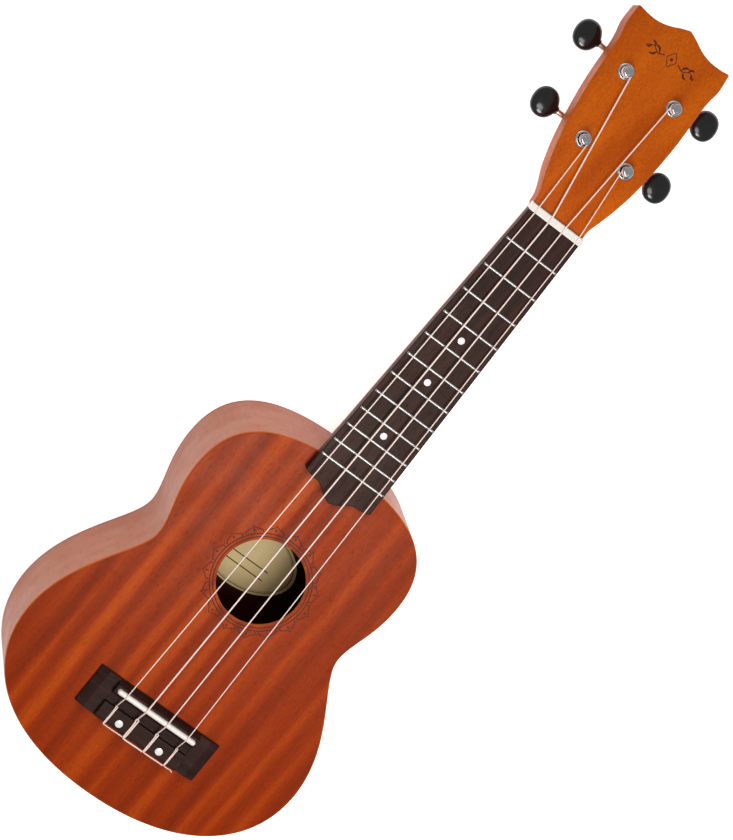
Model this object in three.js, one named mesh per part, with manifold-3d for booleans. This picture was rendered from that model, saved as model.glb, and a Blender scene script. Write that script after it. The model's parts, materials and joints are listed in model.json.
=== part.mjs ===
// Soprano ukulele with rear-mounted open-gear tuners.
// Millimetres. It lies on its back: +Z out of the soundboard, +Y towards the headstock,
// +X to the treble side. The origin is the middle of the body on the outer face of the back.
import * as THREE from "three";
import { mergeVertices } from "three/addons/utils/BufferGeometryUtils.js";
import Module from "manifold-3d";

const wasm = await Module();
wasm.setup();

// ---- driving dimensions -------------------------------------------------------------------

// Body
const BODY_LENGTH = 232.6;
const BODY_DEPTH = 58;
const UPPER_WIDTH = 140;
const WAIST_WIDTH = 124.8;
const LOWER_WIDTH = 186;
const UPPER_Y = 69.5; // widest place of the upper bout
const WAIST_Y = 26.6;
const LOWER_Y = -50.8;
const SHOULDER_ROUND = 45; // how far each curve runs straight on before it bends
const UPPER_ROUND_TOP = 34;
const UPPER_ROUND_WAIST = 20.6;
const WAIST_ROUND_UPPER = 12.1;
const WAIST_ROUND_LOWER = 14.8;
const LOWER_ROUND_WAIST = 37;
const LOWER_ROUND_TAIL = 38;
const TAIL_ROUND = 60;
const OUTLINE_STEPS = 10; // straight steps in each of the four curves of a half outline
const TOP_THICKNESS = 2.2;
const BACK_THICKNESS = 2.4;
const SIDE_THICKNESS = 2.2;
const SOUND_HOLE_RADIUS = 24.6;
const SOUND_HOLE_Y = 37.1;

// Inside the body
const GLUE_GAP = 0.3;
const NECK_BLOCK_WIDTH = 56;
const NECK_BLOCK_DEPTH = 22;
const TAIL_BLOCK_WIDTH = 60;
const TAIL_BLOCK_DEPTH = 16;
const LINING_THICKNESS = 4;
const LINING_HEIGHT = 8;
const BRACE_WIDTH = 7;
const BRACE_HEIGHT = 9;
const BRACE_TIP_HEIGHT = 4;
const BRACE_SCALLOP = 16;
const TOP_BRACE_YS = { top_brace_upper: 74, top_brace_lower: 4 };
const BACK_BRACE_YS = { back_brace_upper: 68, back_brace_lower: -34 };
const BRIDGE_PLATE_WIDTH = 96;
const BRIDGE_PLATE_DEPTH = 34;
const BRIDGE_PLATE_THICKNESS = 2;
const LABEL_HALF_WIDTH = 31;
const LABEL_HALF_HEIGHT = 20;
const LABEL_Y = 33;
const LABEL_THICKNESS = 0.3;

// Neck and headstock
const SCALE_LENGTH = 345;
const NECK_DEPTH_NUT = 13.5;
const NECK_DEPTH_HEEL = 15.5;
const NECK_SHOULDER = 2.5;
const NECK_STEPS = 10;
const HEEL_REACH = 15.5;
const HEEL_SWEEP = 44;
const HEEL_SWEEP_POWER = 4; // how late the heel sweeps out towards the neck
const HEEL_SPREAD_POWER = 1; // above 1 the heel widens later
const HEEL_HALF_WIDTH = 6;
const HEEL_TOP_HALF_WIDTH = 20.4;
const HEEL_ROUND_POWER = 0.8; // under 1 the heel's section is fuller than an ellipse
const HEEL_STEPS = 9;
const HEAD_TILT = 15; // degrees
const HEAD_RISE = 3.5; // headstock face above the fretboard's underside, at the nut
const HEAD_LENGTH = 125;
const HEAD_THICKNESS = 12.5;
const HEAD_ROOT_HALF_WIDTH = 17.3;
const HEAD_TIP_HALF_WIDTH = 31.8;
const HEAD_CORNER_DROP = 5.8; // from the tip back to the two corners of the crown
const HEAD_ROOT_STRAIGHT = 5; // the edge starts to flare this far from the nut
// Half width of the headstock and distance from the nut, from the root to the corner
const HEAD_FLARE = [
  [22.8, 22.4],
  [26.9, 41],
  [30, 70],
  [30.6, 97],
  [32.3, 108],
];
// Half width and drop behind the tip, along the crown from the corner to the middle
const HEAD_CROWN = [
  [24.5, 6.8],
  [17.5, 6.6],
  [11, 4.8],
  [5.5, 2.2],
];
const HEAD_EDGE_STEPS = 18;
const HEAD_CROWN_STEPS = 12;
const NECK_CLEARANCE = 0.3;

// Fretboard, frets, nut
const FRETBOARD_THICKNESS = 5;
const FRETBOARD_NUT_WIDTH = 34.6;
const FRETBOARD_BODY_WIDTH = 43.8; // at the twelfth fret
const FRETBOARD_OVERHANG = 12.6; // from the twelfth fret to its square corners
const FRETBOARD_POINT = 8.3; // from the corners to the pointed tip
// Share of the half width and distance past the corners, from a corner to the tip
const FRETBOARD_TIP = [
  [0.72, 1.4],
  [0.55, 1.8],
  [0.4, 3.4],
  [0.21, 6.5],
];
const FRET_COUNT = 12;
const FRET_WIDTH = 2;
const FRET_CROWN = 0.9;
const FRET_TANG_WIDTH = 0.6;
const FRET_TANG_DEPTH = 1.6;
const FRET_INSET = 0.8;
const SLOT_CLEARANCE = 0.1;
const DOT_FRETS = [5, 7, 10];
const DOT_RADIUS = 1.95;
const DOT_DEPTH = 1.2;
const DOT_CLEARANCE = 0.1;
const NUT_THICKNESS = 4.2;
const NUT_HEIGHT = 7; // above the neck's flat
const NUT_WIDTH = 35.2;
const NUT_FIT = 0.15;

// Bridge and saddle
const BRIDGE_WIDTH = 81;
const BRIDGE_DEPTH = 25;
const BRIDGE_FRONT = 5; // from the middle of the saddle to the front edge
const BRIDGE_BLOCK_WIDTH = 56;
const BRIDGE_HEIGHT = 8;
const BRIDGE_WING_HEIGHT = 4.2;
const BRIDGE_WING_BEVEL = 5.5;
const BRIDGE_EDGE_HEIGHT = 2.2;
const BRIDGE_FRONT_BEVEL = 2.2;
const SADDLE_LIP = 0.8; // wood between the saddle and the string channel
const CHANNEL_SLOPE = 1.6; // how far the channel's front wall leans
const CHANNEL_WIDTH = 7;
const CHANNEL_FLOOR = 3.8;
const TIE_BLOCK_HEIGHT = 7.4;
const TIE_BLOCK_BEVEL = 1.4;
const TIE_HOLE_RADIUS = 1;
const TIE_HOLE_HEIGHT = 5.2;
const SADDLE_THICKNESS = 3;
const SADDLE_WIDTH = 53;
const SADDLE_HEIGHT = 10.6; // above the soundboard
const SADDLE_SLOT_FLOOR = 3;
const SADDLE_FIT = 0.1;

// Strings, from the bass side to the treble side
const STRINGS = [
  { name: "string_g", radius: 0.32, side: -1, row: "lower" },
  { name: "string_c", radius: 0.46, side: -1, row: "upper" },
  { name: "string_e", radius: 0.4, side: 1, row: "upper" },
  { name: "string_a", radius: 0.3, side: 1, row: "lower" },
];
const STRING_NUT_SPACING = 9.3;
const STRING_SADDLE_SPACING = 13.9;
const STRING_SIDES = 8;
const STRING_GAP = 0.1; // between a string and what it bears on
const NUT_SLOT_DEPTH = 0.7;

// Tuners
const POST_ROWS = {
  lower: { across: 14.8, along: 42.9 },
  upper: { across: 16.9, along: 85.7 },
};
const POST_RADIUS = 3;
const POST_HEIGHT = 5.6; // above the headstock's face
const POST_WAIST_RADIUS = 2.4;
const POST_HOLE_RADIUS = 0.8;
const POST_SHANK_RADIUS = 2.2;
const POST_FOOT = 0.6; // below the toothed wheel
const HUB_WALL = 0.9;
const HUB_HEIGHT = 0.8; // above the toothed wheel
const POST_CLEARANCE = 0.3;
const FERRULE_RADIUS = 4.9;
const FERRULE_RIM = 1.3;
const FERRULE_SLEEVE_RADIUS = 4.1;
const FERRULE_SLEEVE_LENGTH = 6;
const FERRULE_FIT = 0.3;
const SEAT_GAP = 0.1;
const PLATE_THICKNESS = 1;
const PLATE_ACROSS = 12.4;
const PLATE_BELOW = 8; // from the post towards the nut
const PLATE_ABOVE = 13; // from the post towards the tip
const PLATE_SCREW_RADIUS = 1.1;
const PLATE_SCREW_INSET = 2; // from the plate's ends
const GEAR_TEETH = 14;
const GEAR_MODULE = 0.62;
const GEAR_THICKNESS = 2.6;
const WORM_PITCH_RADIUS = 1.91;
const WORM_TURNS = 3.2;
const WORM_DROP = 4.7; // from the headstock's back to the worm's axis
const THREAD_RADIUS = 0.46;
const WORM_CORE_RADIUS = 1.55;
const TOOTH_CLEARANCE = 0.1; // between a tooth's tip and the worm's core
const ROOT_CLEARANCE = 0.2; // between the thread and the bottom of a tooth space
const SHAFT_RADIUS = 1.75;
const SHAFT_CLEARANCE = 0.15;
const LUG_THICKNESS = 1.5;
const LUG_HALF_WIDTH = 2.9;
const LUG_DROP = 2.9; // below the worm's axis
const LUG_GAP = 0.35;
const SHAFT_STUB = 0.5; // past the inner lug
const COLLAR_RADIUS = 2.4;
const COLLAR_LENGTH = 1.2;
const KNOB_OFFSET = 24.7; // from the post to the middle of the knob
const KNOB_HALF_LENGTH = 8.75;
const KNOB_HALF_WIDTH = 7.75;
const KNOB_HALF_THICKNESS = 4;
const KNOB_NECK_RADIUS = 2.9;
const KNOB_NECK_LENGTH = 1.8;
const KNOB_BORE_DEPTH = 7;
const KNOB_BORE_SPARE = 1; // from the shaft's end to the bottom of the knob's bore

// ---- worked out from them -----------------------------------------------------------------

const TAU = 2 * Math.PI;
const bodyTop = BODY_LENGTH / 2;
const topZ = BODY_DEPTH;
const innerTopZ = BODY_DEPTH - TOP_THICKNESS;
const nutY = bodyTop + SCALE_LENGTH / 2; // the twelfth fret stands over the body's joint
const saddleY = nutY - SCALE_LENGTH;
const headY = nutY + NUT_THICKNESS;
const headZ = topZ + HEAD_RISE;
const headTilt = THREE.MathUtils.degToRad(HEAD_TILT);
const fretTopZ = topZ + FRETBOARD_THICKNESS;
const gearPitchRadius = (GEAR_TEETH * GEAR_MODULE) / 2;
const wormOffset = gearPitchRadius + WORM_PITCH_RADIUS;
const wormLead = Math.PI * GEAR_MODULE;
const wormZ = -HEAD_THICKNESS - WORM_DROP;
const insideSide = SIDE_THICKNESS + GLUE_GAP;
const insideLining = insideSide + LINING_THICKNESS + GLUE_GAP;

// ---- materials ----------------------------------------------------------------------------

function finish(color, roughness, metalness = 0) {
  return new THREE.MeshStandardMaterial({ color, roughness, metalness });
}

const MATERIALS = {
  body: finish(0xa4451a, 0.5),
  spruce: finish(0xd8b98a, 0.8),
  paper: finish(0xe0cf9c, 0.9),
  neck: finish(0xbd6226, 0.5),
  fretboard: finish(0x46302c, 0.6),
  fretWire: finish(0xc9c6c2, 0.3, 1),
  bone: finish(0xf2ece4, 0.4),
  pearl: finish(0xf0efec, 0.3),
  bridge: finish(0x3a2826, 0.6),
  string: finish(0xead9d2, 0.35),
  chrome: finish(0xd9dadc, 0.15, 1),
  knob: finish(0x0d0d10, 0.15),
};

// ---- solids -------------------------------------------------------------------------------

function solid(geometry) {
  const bare = geometry.clone();
  bare.deleteAttribute("normal");
  bare.deleteAttribute("uv");
  const merged = mergeVertices(bare, 1e-4);
  return new wasm.Manifold(
    new wasm.Mesh({
      numProp: 3,
      vertProperties: merged.attributes.position.array,
      triVerts: new Uint32Array(merged.index.array),
    }),
  );
}

function geometryOf(manifold) {
  const mesh = manifold.getMesh();
  const geometry = new THREE.BufferGeometry();
  geometry.setAttribute("position", new THREE.BufferAttribute(mesh.vertProperties, 3));
  geometry.setIndex(new THREE.BufferAttribute(mesh.triVerts, 1));
  return geometry;
}

// A flat outline pushed up from z = low to z = high.
function prism(points, low, high, holes = []) {
  const shape = new THREE.Shape(points);
  shape.holes = holes.map((hole) => new THREE.Path(hole));
  const geometry = new THREE.ExtrudeGeometry(shape, { depth: high - low, bevelEnabled: false });
  return geometry.translate(0, 0, low);
}

// A section in the (y, z) plane pushed along x, from -half to half.
function barAcross(points, half) {
  const shape = new THREE.Shape(points);
  const geometry = new THREE.ExtrudeGeometry(shape, { depth: 2 * half, bevelEnabled: false });
  return geometry
    .translate(0, 0, -half)
    .applyMatrix4(new THREE.Matrix4().set(0, 0, 1, 0, 1, 0, 0, 0, 0, 1, 0, 0, 0, 0, 0, 1));
}

function block(low, high) {
  const size = new THREE.Vector3().subVectors(high, low);
  const middle = new THREE.Vector3().addVectors(low, high).multiplyScalar(0.5);
  return new THREE.BoxGeometry(size.x, size.y, size.z).translate(middle.x, middle.y, middle.z);
}

function boxOf(x0, x1, y0, y1, z0, z1) {
  return block(new THREE.Vector3(x0, y0, z0), new THREE.Vector3(x1, y1, z1));
}

function circle(radius, cx, cy, sides) {
  const at = (i) => (i * TAU) / sides;
  return Array.from(
    { length: sides },
    (_, i) => new THREE.Vector2(cx + radius * Math.cos(at(i)), cy + radius * Math.sin(at(i))),
  );
}

// A round bar along z.
function rod(radius, low, high, sides) {
  return prism(circle(radius, 0, 0, sides), low, high);
}

// A round bar along x, at height z and place y.
function rodAcross(radius, x0, x1, y, z, sides) {
  return rod(radius, x0, x1, sides).rotateY(Math.PI / 2).translate(0, y, z);
}

// A turned piece about the z axis from [radius, height] pairs, which go up on the outside.
function turned(profile, sides) {
  const points = profile.map(([radius, height]) => new THREE.Vector2(radius, height));
  return new THREE.LatheGeometry(points, sides).rotateX(Math.PI / 2);
}

// A skin over rings of points, each ring a closed convex loop of the same length.
function loft(rings) {
  const around = rings[0].length;
  const positions = rings.flat().flatMap((p) => [p.x, p.y, p.z]);
  const index = [];
  for (let r = 0; r + 1 < rings.length; r++) {
    for (let i = 0; i < around; i++) {
      const a = r * around + i;
      const b = r * around + ((i + 1) % around);
      index.push(a, b, b + around, a, b + around, a + around);
    }
  }
  const last = (rings.length - 1) * around;
  for (let i = 1; i + 1 < around; i++) {
    index.push(0, i + 1, i, last, last + i, last + i + 1);
  }
  const geometry = new THREE.BufferGeometry();
  geometry.setAttribute("position", new THREE.Float32BufferAttribute(positions, 3));
  geometry.setIndex(index);
  const made = solid(geometry);
  return made.volume() < 0 ? solid(geometry.setIndex(index.reverse())) : made;
}

// ---- the body's outline -------------------------------------------------------------------

function bezier(...flat) {
  const p = [0, 2, 4, 6].map((i) => new THREE.Vector2(flat[i], flat[i + 1]));
  return new THREE.CubicBezierCurve(...p);
}

const upper = UPPER_WIDTH / 2;
const waist = WAIST_WIDTH / 2;
const lower = LOWER_WIDTH / 2;
const outlineCurves = [
  bezier(0, bodyTop, SHOULDER_ROUND, bodyTop, upper, UPPER_Y + UPPER_ROUND_TOP, upper, UPPER_Y),
  bezier(upper, UPPER_Y, upper, UPPER_Y - UPPER_ROUND_WAIST, waist, WAIST_Y + WAIST_ROUND_UPPER,
    waist, WAIST_Y),
  bezier(waist, WAIST_Y, waist, WAIST_Y - WAIST_ROUND_LOWER, lower, LOWER_Y + LOWER_ROUND_WAIST,
    lower, LOWER_Y),
  bezier(lower, LOWER_Y, lower, LOWER_Y - LOWER_ROUND_TAIL, TAIL_ROUND, -bodyTop, 0, -bodyTop),
];

// The treble half of the outline, from the neck's joint to the tail, moved inwards by inset.
function halfOutline(inset = 0) {
  const points = [];
  outlineCurves.forEach((curve, which) => {
    for (let i = which ? 1 : 0; i <= OUTLINE_STEPS; i++) {
      const place = curve.getPoint(i / OUTLINE_STEPS);
      const way = curve.getTangent(i / OUTLINE_STEPS);
      points.push(new THREE.Vector2(place.x + inset * way.y, place.y - inset * way.x));
    }
  });
  points[0].x = 0;
  points[points.length - 1].x = 0;
  return points;
}

const mirrored = (points) => points.map((p) => new THREE.Vector2(-p.x, p.y));

function wholeOutline(inset = 0) {
  const half = halfOutline(inset);
  return [...half, ...mirrored(half.slice(1, -1)).reverse()];
}

// Height in y at which the half outline passes x, near the neck (top) or near the tail.
function edgeY(points, x, nearTop) {
  const run = nearTop ? points : [...points].reverse();
  const next = run.findIndex((p) => p.x > x);
  const [a, b] = [run[next - 1], run[next]];
  return a.y + ((b.y - a.y) * (x - a.x)) / (b.x - a.x);
}

// Half width of an outline at a place along the body.
function halfWidthAt(points, y) {
  const next = points.findIndex((p) => p.y < y);
  const [a, b] = [points[next - 1], points[next]];
  return a.x + ((b.x - a.x) * (y - a.y)) / (b.y - a.y);
}

// ---- the parts ----------------------------------------------------------------------------

const ukulele = new THREE.Group();

function add(name, geometry, material, parent = ukulele) {
  const mesh = new THREE.Mesh(geometry, material);
  mesh.name = name;
  parent.add(mesh);
  return mesh;
}

function addPlates() {
  const hole = circle(SOUND_HOLE_RADIUS, 0, SOUND_HOLE_Y, 32);
  add("soundboard", prism(wholeOutline(), innerTopZ, topZ, [hole]), MATERIALS.body);
  add("back", prism(wholeOutline(), 0, BACK_THICKNESS), MATERIALS.body);
}

function addSides() {
  const outer = halfOutline();
  const inner = halfOutline(SIDE_THICKNESS);
  const half = [...outer, ...inner.reverse()];
  add("side_treble", prism(half, BACK_THICKNESS, innerTopZ), MATERIALS.body);
  add("side_bass", prism(mirrored(half), BACK_THICKNESS, innerTopZ), MATERIALS.body);
}

function addBlocks() {
  const inside = halfOutline(insideSide);
  const place = (name, width, depth, nearTop) => {
    const half = width / 2;
    const run = nearTop ? inside : [...inside].reverse();
    const arc = run.filter((p) => p.x < half && p.y > 0 === nearTop);
    arc.push(new THREE.Vector2(half, edgeY(inside, half, nearTop)));
    const flat = arc[0].y + (nearTop ? -depth : depth);
    const right = [...arc, new THREE.Vector2(half, flat)];
    const loop = [...right, ...mirrored(right.slice(1)).reverse()];
    add(name, prism(loop, BACK_THICKNESS, innerTopZ), MATERIALS.spruce);
  };
  place("neck_block", NECK_BLOCK_WIDTH, NECK_BLOCK_DEPTH, true);
  place("tail_block", TAIL_BLOCK_WIDTH, TAIL_BLOCK_DEPTH, false);
}

function addLinings() {
  const outer = halfOutline(insideSide);
  const inner = halfOutline(insideSide + LINING_THICKNESS);
  const clear = (p) => p.x > (p.y > 0 ? NECK_BLOCK_WIDTH : TAIL_BLOCK_WIDTH) / 2 + GLUE_GAP;
  const kept = outer.map((_, i) => i).filter((i) => clear(inner[i]) && clear(outer[i]));
  const loop = [...kept.map((i) => outer[i]), ...kept.reverse().map((i) => inner[i])];
  const levels = {
    top: [innerTopZ - LINING_HEIGHT, innerTopZ],
    back: [BACK_THICKNESS, BACK_THICKNESS + LINING_HEIGHT],
  };
  for (const [level, [low, high]] of Object.entries(levels)) {
    add(`lining_${level}_treble`, prism(loop, low, high), MATERIALS.spruce);
    add(`lining_${level}_bass`, prism(mirrored(loop), low, high), MATERIALS.spruce);
  }
}

// A bar across the body whose ends are thinned, glued with its flat face at z.
function addBrace(name, y, z, away) {
  const limit = halfOutline(insideLining);
  const ends = [y - BRACE_WIDTH / 2, y + BRACE_WIDTH / 2].map((at) => halfWidthAt(limit, at));
  const half = Math.min(...ends);
  const side = [
    [-half, 0],
    [half, 0],
    [half, away * BRACE_TIP_HEIGHT],
    [half - BRACE_SCALLOP, away * BRACE_HEIGHT],
    [BRACE_SCALLOP - half, away * BRACE_HEIGHT],
    [-half, away * BRACE_TIP_HEIGHT],
  ].map(([x, up]) => new THREE.Vector2(x, z + up));
  const loop = away > 0 ? side : side.reverse();
  const geometry = prism(loop, -BRACE_WIDTH / 2, BRACE_WIDTH / 2).rotateX(Math.PI / 2);
  add(name, geometry.translate(0, y, 0), MATERIALS.spruce);
}

function addInside() {
  for (const [name, y] of Object.entries(TOP_BRACE_YS)) addBrace(name, y, innerTopZ, -1);
  for (const [name, y] of Object.entries(BACK_BRACE_YS)) addBrace(name, y, BACK_THICKNESS, 1);
  const plateX = BRIDGE_PLATE_WIDTH / 2;
  const plateY = saddleY + BRIDGE_FRONT - BRIDGE_DEPTH / 2;
  const plateZ = innerTopZ - BRIDGE_PLATE_THICKNESS;
  const plate = boxOf(-plateX, plateX, plateY - BRIDGE_PLATE_DEPTH / 2,
    plateY + BRIDGE_PLATE_DEPTH / 2, plateZ, innerTopZ);
  add("bridge_plate", plate, MATERIALS.spruce);
  const label = new THREE.Path();
  label.absellipse(0, LABEL_Y, LABEL_HALF_WIDTH, LABEL_HALF_HEIGHT, 0, TAU);
  const rim = label.getPoints(14).slice(0, -1);
  add("label", prism(rim, BACK_THICKNESS, BACK_THICKNESS + LABEL_THICKNESS), MATERIALS.paper);
}

// Half width of the fretboard at a place along the neck.
function boardHalfWidth(y) {
  const share = (nutY - y) / (nutY - bodyTop);
  return (FRETBOARD_NUT_WIDTH + (FRETBOARD_BODY_WIDTH - FRETBOARD_NUT_WIDTH) * share) / 2;
}

// The neck's rounded section at a place along it.
function neckRing(y) {
  const half = boardHalfWidth(Math.min(y, nutY));
  const share = (nutY - y) / (nutY - bodyTop);
  const depth = NECK_DEPTH_NUT + (NECK_DEPTH_HEEL - NECK_DEPTH_NUT) * share;
  const ring = [new THREE.Vector3(half, y, topZ)];
  for (let i = 0; i <= NECK_STEPS; i++) {
    const angle = (i * Math.PI) / NECK_STEPS;
    const drop = NECK_SHOULDER + (depth - NECK_SHOULDER) * Math.sin(angle);
    ring.push(new THREE.Vector3(half * Math.cos(angle), y, topZ - drop));
  }
  ring.push(new THREE.Vector3(-half, y, topZ));
  return ring;
}

// The heel's section at a height, wide and long at the top and small at the back.
function heelRing(z) {
  const share = Math.max(z, 0) / topZ;
  const half = HEEL_HALF_WIDTH + (HEEL_TOP_HALF_WIDTH - HEEL_HALF_WIDTH) * share ** HEEL_SPREAD_POWER;
  const reach = HEEL_REACH + HEEL_SWEEP * share ** HEEL_SWEEP_POWER;
  const ring = [];
  for (let i = 0; i <= NECK_STEPS; i++) {
    const angle = (i * Math.PI) / NECK_STEPS;
    const out = bodyTop + reach * Math.sin(angle) ** HEEL_ROUND_POWER;
    ring.push(new THREE.Vector3(half * Math.cos(angle), out, z));
  }
  const root = bodyTop - HEEL_REACH / 2;
  ring.push(new THREE.Vector3(-half, root, z), new THREE.Vector3(half, root, z));
  return ring;
}

// The headstock's outline on its own face: x across, y from the nut towards the tip.
function headOutline() {
  const corner = new THREE.Vector2(HEAD_TIP_HALF_WIDTH, HEAD_LENGTH - HEAD_CORNER_DROP);
  const edge = new THREE.SplineCurve([
    new THREE.Vector2(HEAD_ROOT_HALF_WIDTH, HEAD_ROOT_STRAIGHT),
    ...HEAD_FLARE.map(([half, along]) => new THREE.Vector2(half, along)),
    corner,
  ]);
  const crown = new THREE.SplineCurve([
    corner,
    ...HEAD_CROWN.map(([half, drop]) => new THREE.Vector2(half, HEAD_LENGTH - drop)),
    new THREE.Vector2(0, HEAD_LENGTH),
  ]);
  const start = new THREE.Vector2(HEAD_ROOT_HALF_WIDTH, 0);
  const sweep = edge.getPoints(HEAD_EDGE_STEPS);
  const right = [start, ...sweep, ...crown.getPoints(HEAD_CROWN_STEPS).slice(1)];
  return [...right, ...mirrored(right.slice(0, -1)).reverse()];
}

function headMatrix() {
  return new THREE.Matrix4()
    .makeTranslation(0, headY, headZ)
    .multiply(new THREE.Matrix4().makeRotationX(-headTilt));
}

const tunerPlaces = [];
for (const side of [-1, 1]) {
  for (const [row, { across, along }] of Object.entries(POST_ROWS)) {
    const name = `${side < 0 ? "bass" : "treble"}_${row}`;
    tunerPlaces.push({ name, side, row, x: side * across, y: along });
  }
}

function addNeck() {
  const far = headY + HEAD_THICKNESS;
  const stops = [bodyTop - 4, bodyTop + 25, (bodyTop + nutY) / 2, nutY - 12, nutY, far];
  let neck = loft(stops.map(neckRing));
  const heights = Array.from({ length: HEEL_STEPS + 1 }, (_, i) => (i * topZ) / HEEL_STEPS);
  neck = neck.add(loft(heights.map(heelRing)));
  const head = prism(headOutline(), -HEAD_THICKNESS, 0).applyMatrix4(headMatrix());
  neck = neck.add(solid(head));
  neck = neck.subtract(solid(prism(wholeOutline(-NECK_CLEARANCE), -1, topZ + 1)));
  const seatHalf = FRETBOARD_BODY_WIDTH;
  const seat = boxOf(-seatHalf, seatHalf, bodyTop - HEEL_REACH, headY + NUT_FIT, topZ, topZ + 20);
  neck = neck.subtract(solid(seat));
  for (const { x, y } of tunerPlaces) {
    const bore = rod(FERRULE_SLEEVE_RADIUS + FERRULE_FIT, -HEAD_THICKNESS - 1, 1, 16);
    neck = neck.subtract(solid(bore.translate(x, y, 0).applyMatrix4(headMatrix())));
  }
  add("neck", geometryOf(neck), MATERIALS.neck);
}

const fretY = (number) => nutY - SCALE_LENGTH * (1 - 2 ** (-number / 12));

function addFretboard() {
  const cornerY = bodyTop - FRETBOARD_OVERHANG;
  const corner = boardHalfWidth(cornerY);
  const right = [
    [boardHalfWidth(nutY), nutY],
    [corner, cornerY],
    ...FRETBOARD_TIP.map(([share, past]) => [corner * share, cornerY - past]),
  ].map(([x, y]) => new THREE.Vector2(x, y));
  const tip = new THREE.Vector2(0, cornerY - FRETBOARD_POINT);
  const outline = [...right, tip, ...mirrored(right).reverse()];
  let board = solid(prism(outline.reverse(), topZ, fretTopZ));
  for (let n = 1; n <= FRET_COUNT; n++) {
    const half = boardHalfWidth(fretY(n)) - FRET_INSET + SLOT_CLEARANCE;
    const gap = FRET_TANG_WIDTH / 2 + SLOT_CLEARANCE;
    const floor = fretTopZ - FRET_TANG_DEPTH - SLOT_CLEARANCE;
    const slot = boxOf(-half, half, fretY(n) - gap, fretY(n) + gap, floor, fretTopZ + 1);
    board = board.subtract(solid(slot));
  }
  for (const n of DOT_FRETS) {
    const floor = fretTopZ - DOT_DEPTH - DOT_CLEARANCE;
    const pocket = rod(DOT_RADIUS + DOT_CLEARANCE, floor, fretTopZ + 1, 12);
    board = board.subtract(solid(pocket.translate(0, dotY(n), 0)));
  }
  add("fretboard", geometryOf(board), MATERIALS.fretboard);
}

// A marker sits in the middle of its fret's space.
const dotY = (number) => (fretY(number) + fretY(number - 1)) / 2;

function addFrets() {
  const tang = FRET_TANG_WIDTH / 2;
  const foot = FRET_WIDTH / 2;
  for (let n = 1; n <= FRET_COUNT; n++) {
    const section = [
      [-tang, -FRET_TANG_DEPTH],
      [tang, -FRET_TANG_DEPTH],
      [tang, 0],
    ];
    for (let i = 0; i <= 6; i++) {
      const angle = (i * Math.PI) / 6;
      section.push([foot * Math.cos(angle), FRET_CROWN * Math.sin(angle)]);
    }
    section.push([-tang, 0]);
    const points = section.map(([y, z]) => new THREE.Vector2(fretY(n) + y, fretTopZ + z));
    const name = `fret_${String(n).padStart(2, "0")}`;
    add(name, barAcross(points, boardHalfWidth(fretY(n)) - FRET_INSET), MATERIALS.fretWire);
  }
  for (const n of DOT_FRETS) {
    const dot = rod(DOT_RADIUS, fretTopZ - DOT_DEPTH, fretTopZ, 12).translate(0, dotY(n), 0);
    add(`fret_dot_${String(n).padStart(2, "0")}`, dot, MATERIALS.pearl);
  }
}

const stringX = (index, spacing) => (index - 1.5) * spacing;
const nutTopZ = topZ + NUT_HEIGHT;
const nutStringZ = (string) => nutTopZ - NUT_SLOT_DEPTH + STRING_GAP + string.radius;

function addNut() {
  const round = NUT_THICKNESS / 4;
  const section = [
    [nutY, topZ],
    [headY, topZ],
    [headY, nutTopZ - 2 * round],
    [headY - round, nutTopZ - round / 2],
    [headY - 2 * round, nutTopZ],
    [nutY + round / 2, nutTopZ],
    [nutY, nutTopZ - round / 2],
  ].map(([y, z]) => new THREE.Vector2(y, z));
  let nut = solid(barAcross(section, NUT_WIDTH / 2));
  STRINGS.forEach((string, index) => {
    const x = stringX(index, STRING_NUT_SPACING);
    const half = string.radius + STRING_GAP;
    const low = nutTopZ - NUT_SLOT_DEPTH;
    nut = nut.subtract(solid(boxOf(x - half, x + half, nutY - 1, headY + 1, low, nutTopZ + 1)));
  });
  add("nut", geometryOf(nut), MATERIALS.bone);
}

const frontY = saddleY + BRIDGE_FRONT;
const rearY = frontY - BRIDGE_DEPTH;
const channelFrontY = saddleY - SADDLE_THICKNESS / 2 - SADDLE_LIP;
const channelRearY = channelFrontY - CHANNEL_WIDTH;

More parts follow.
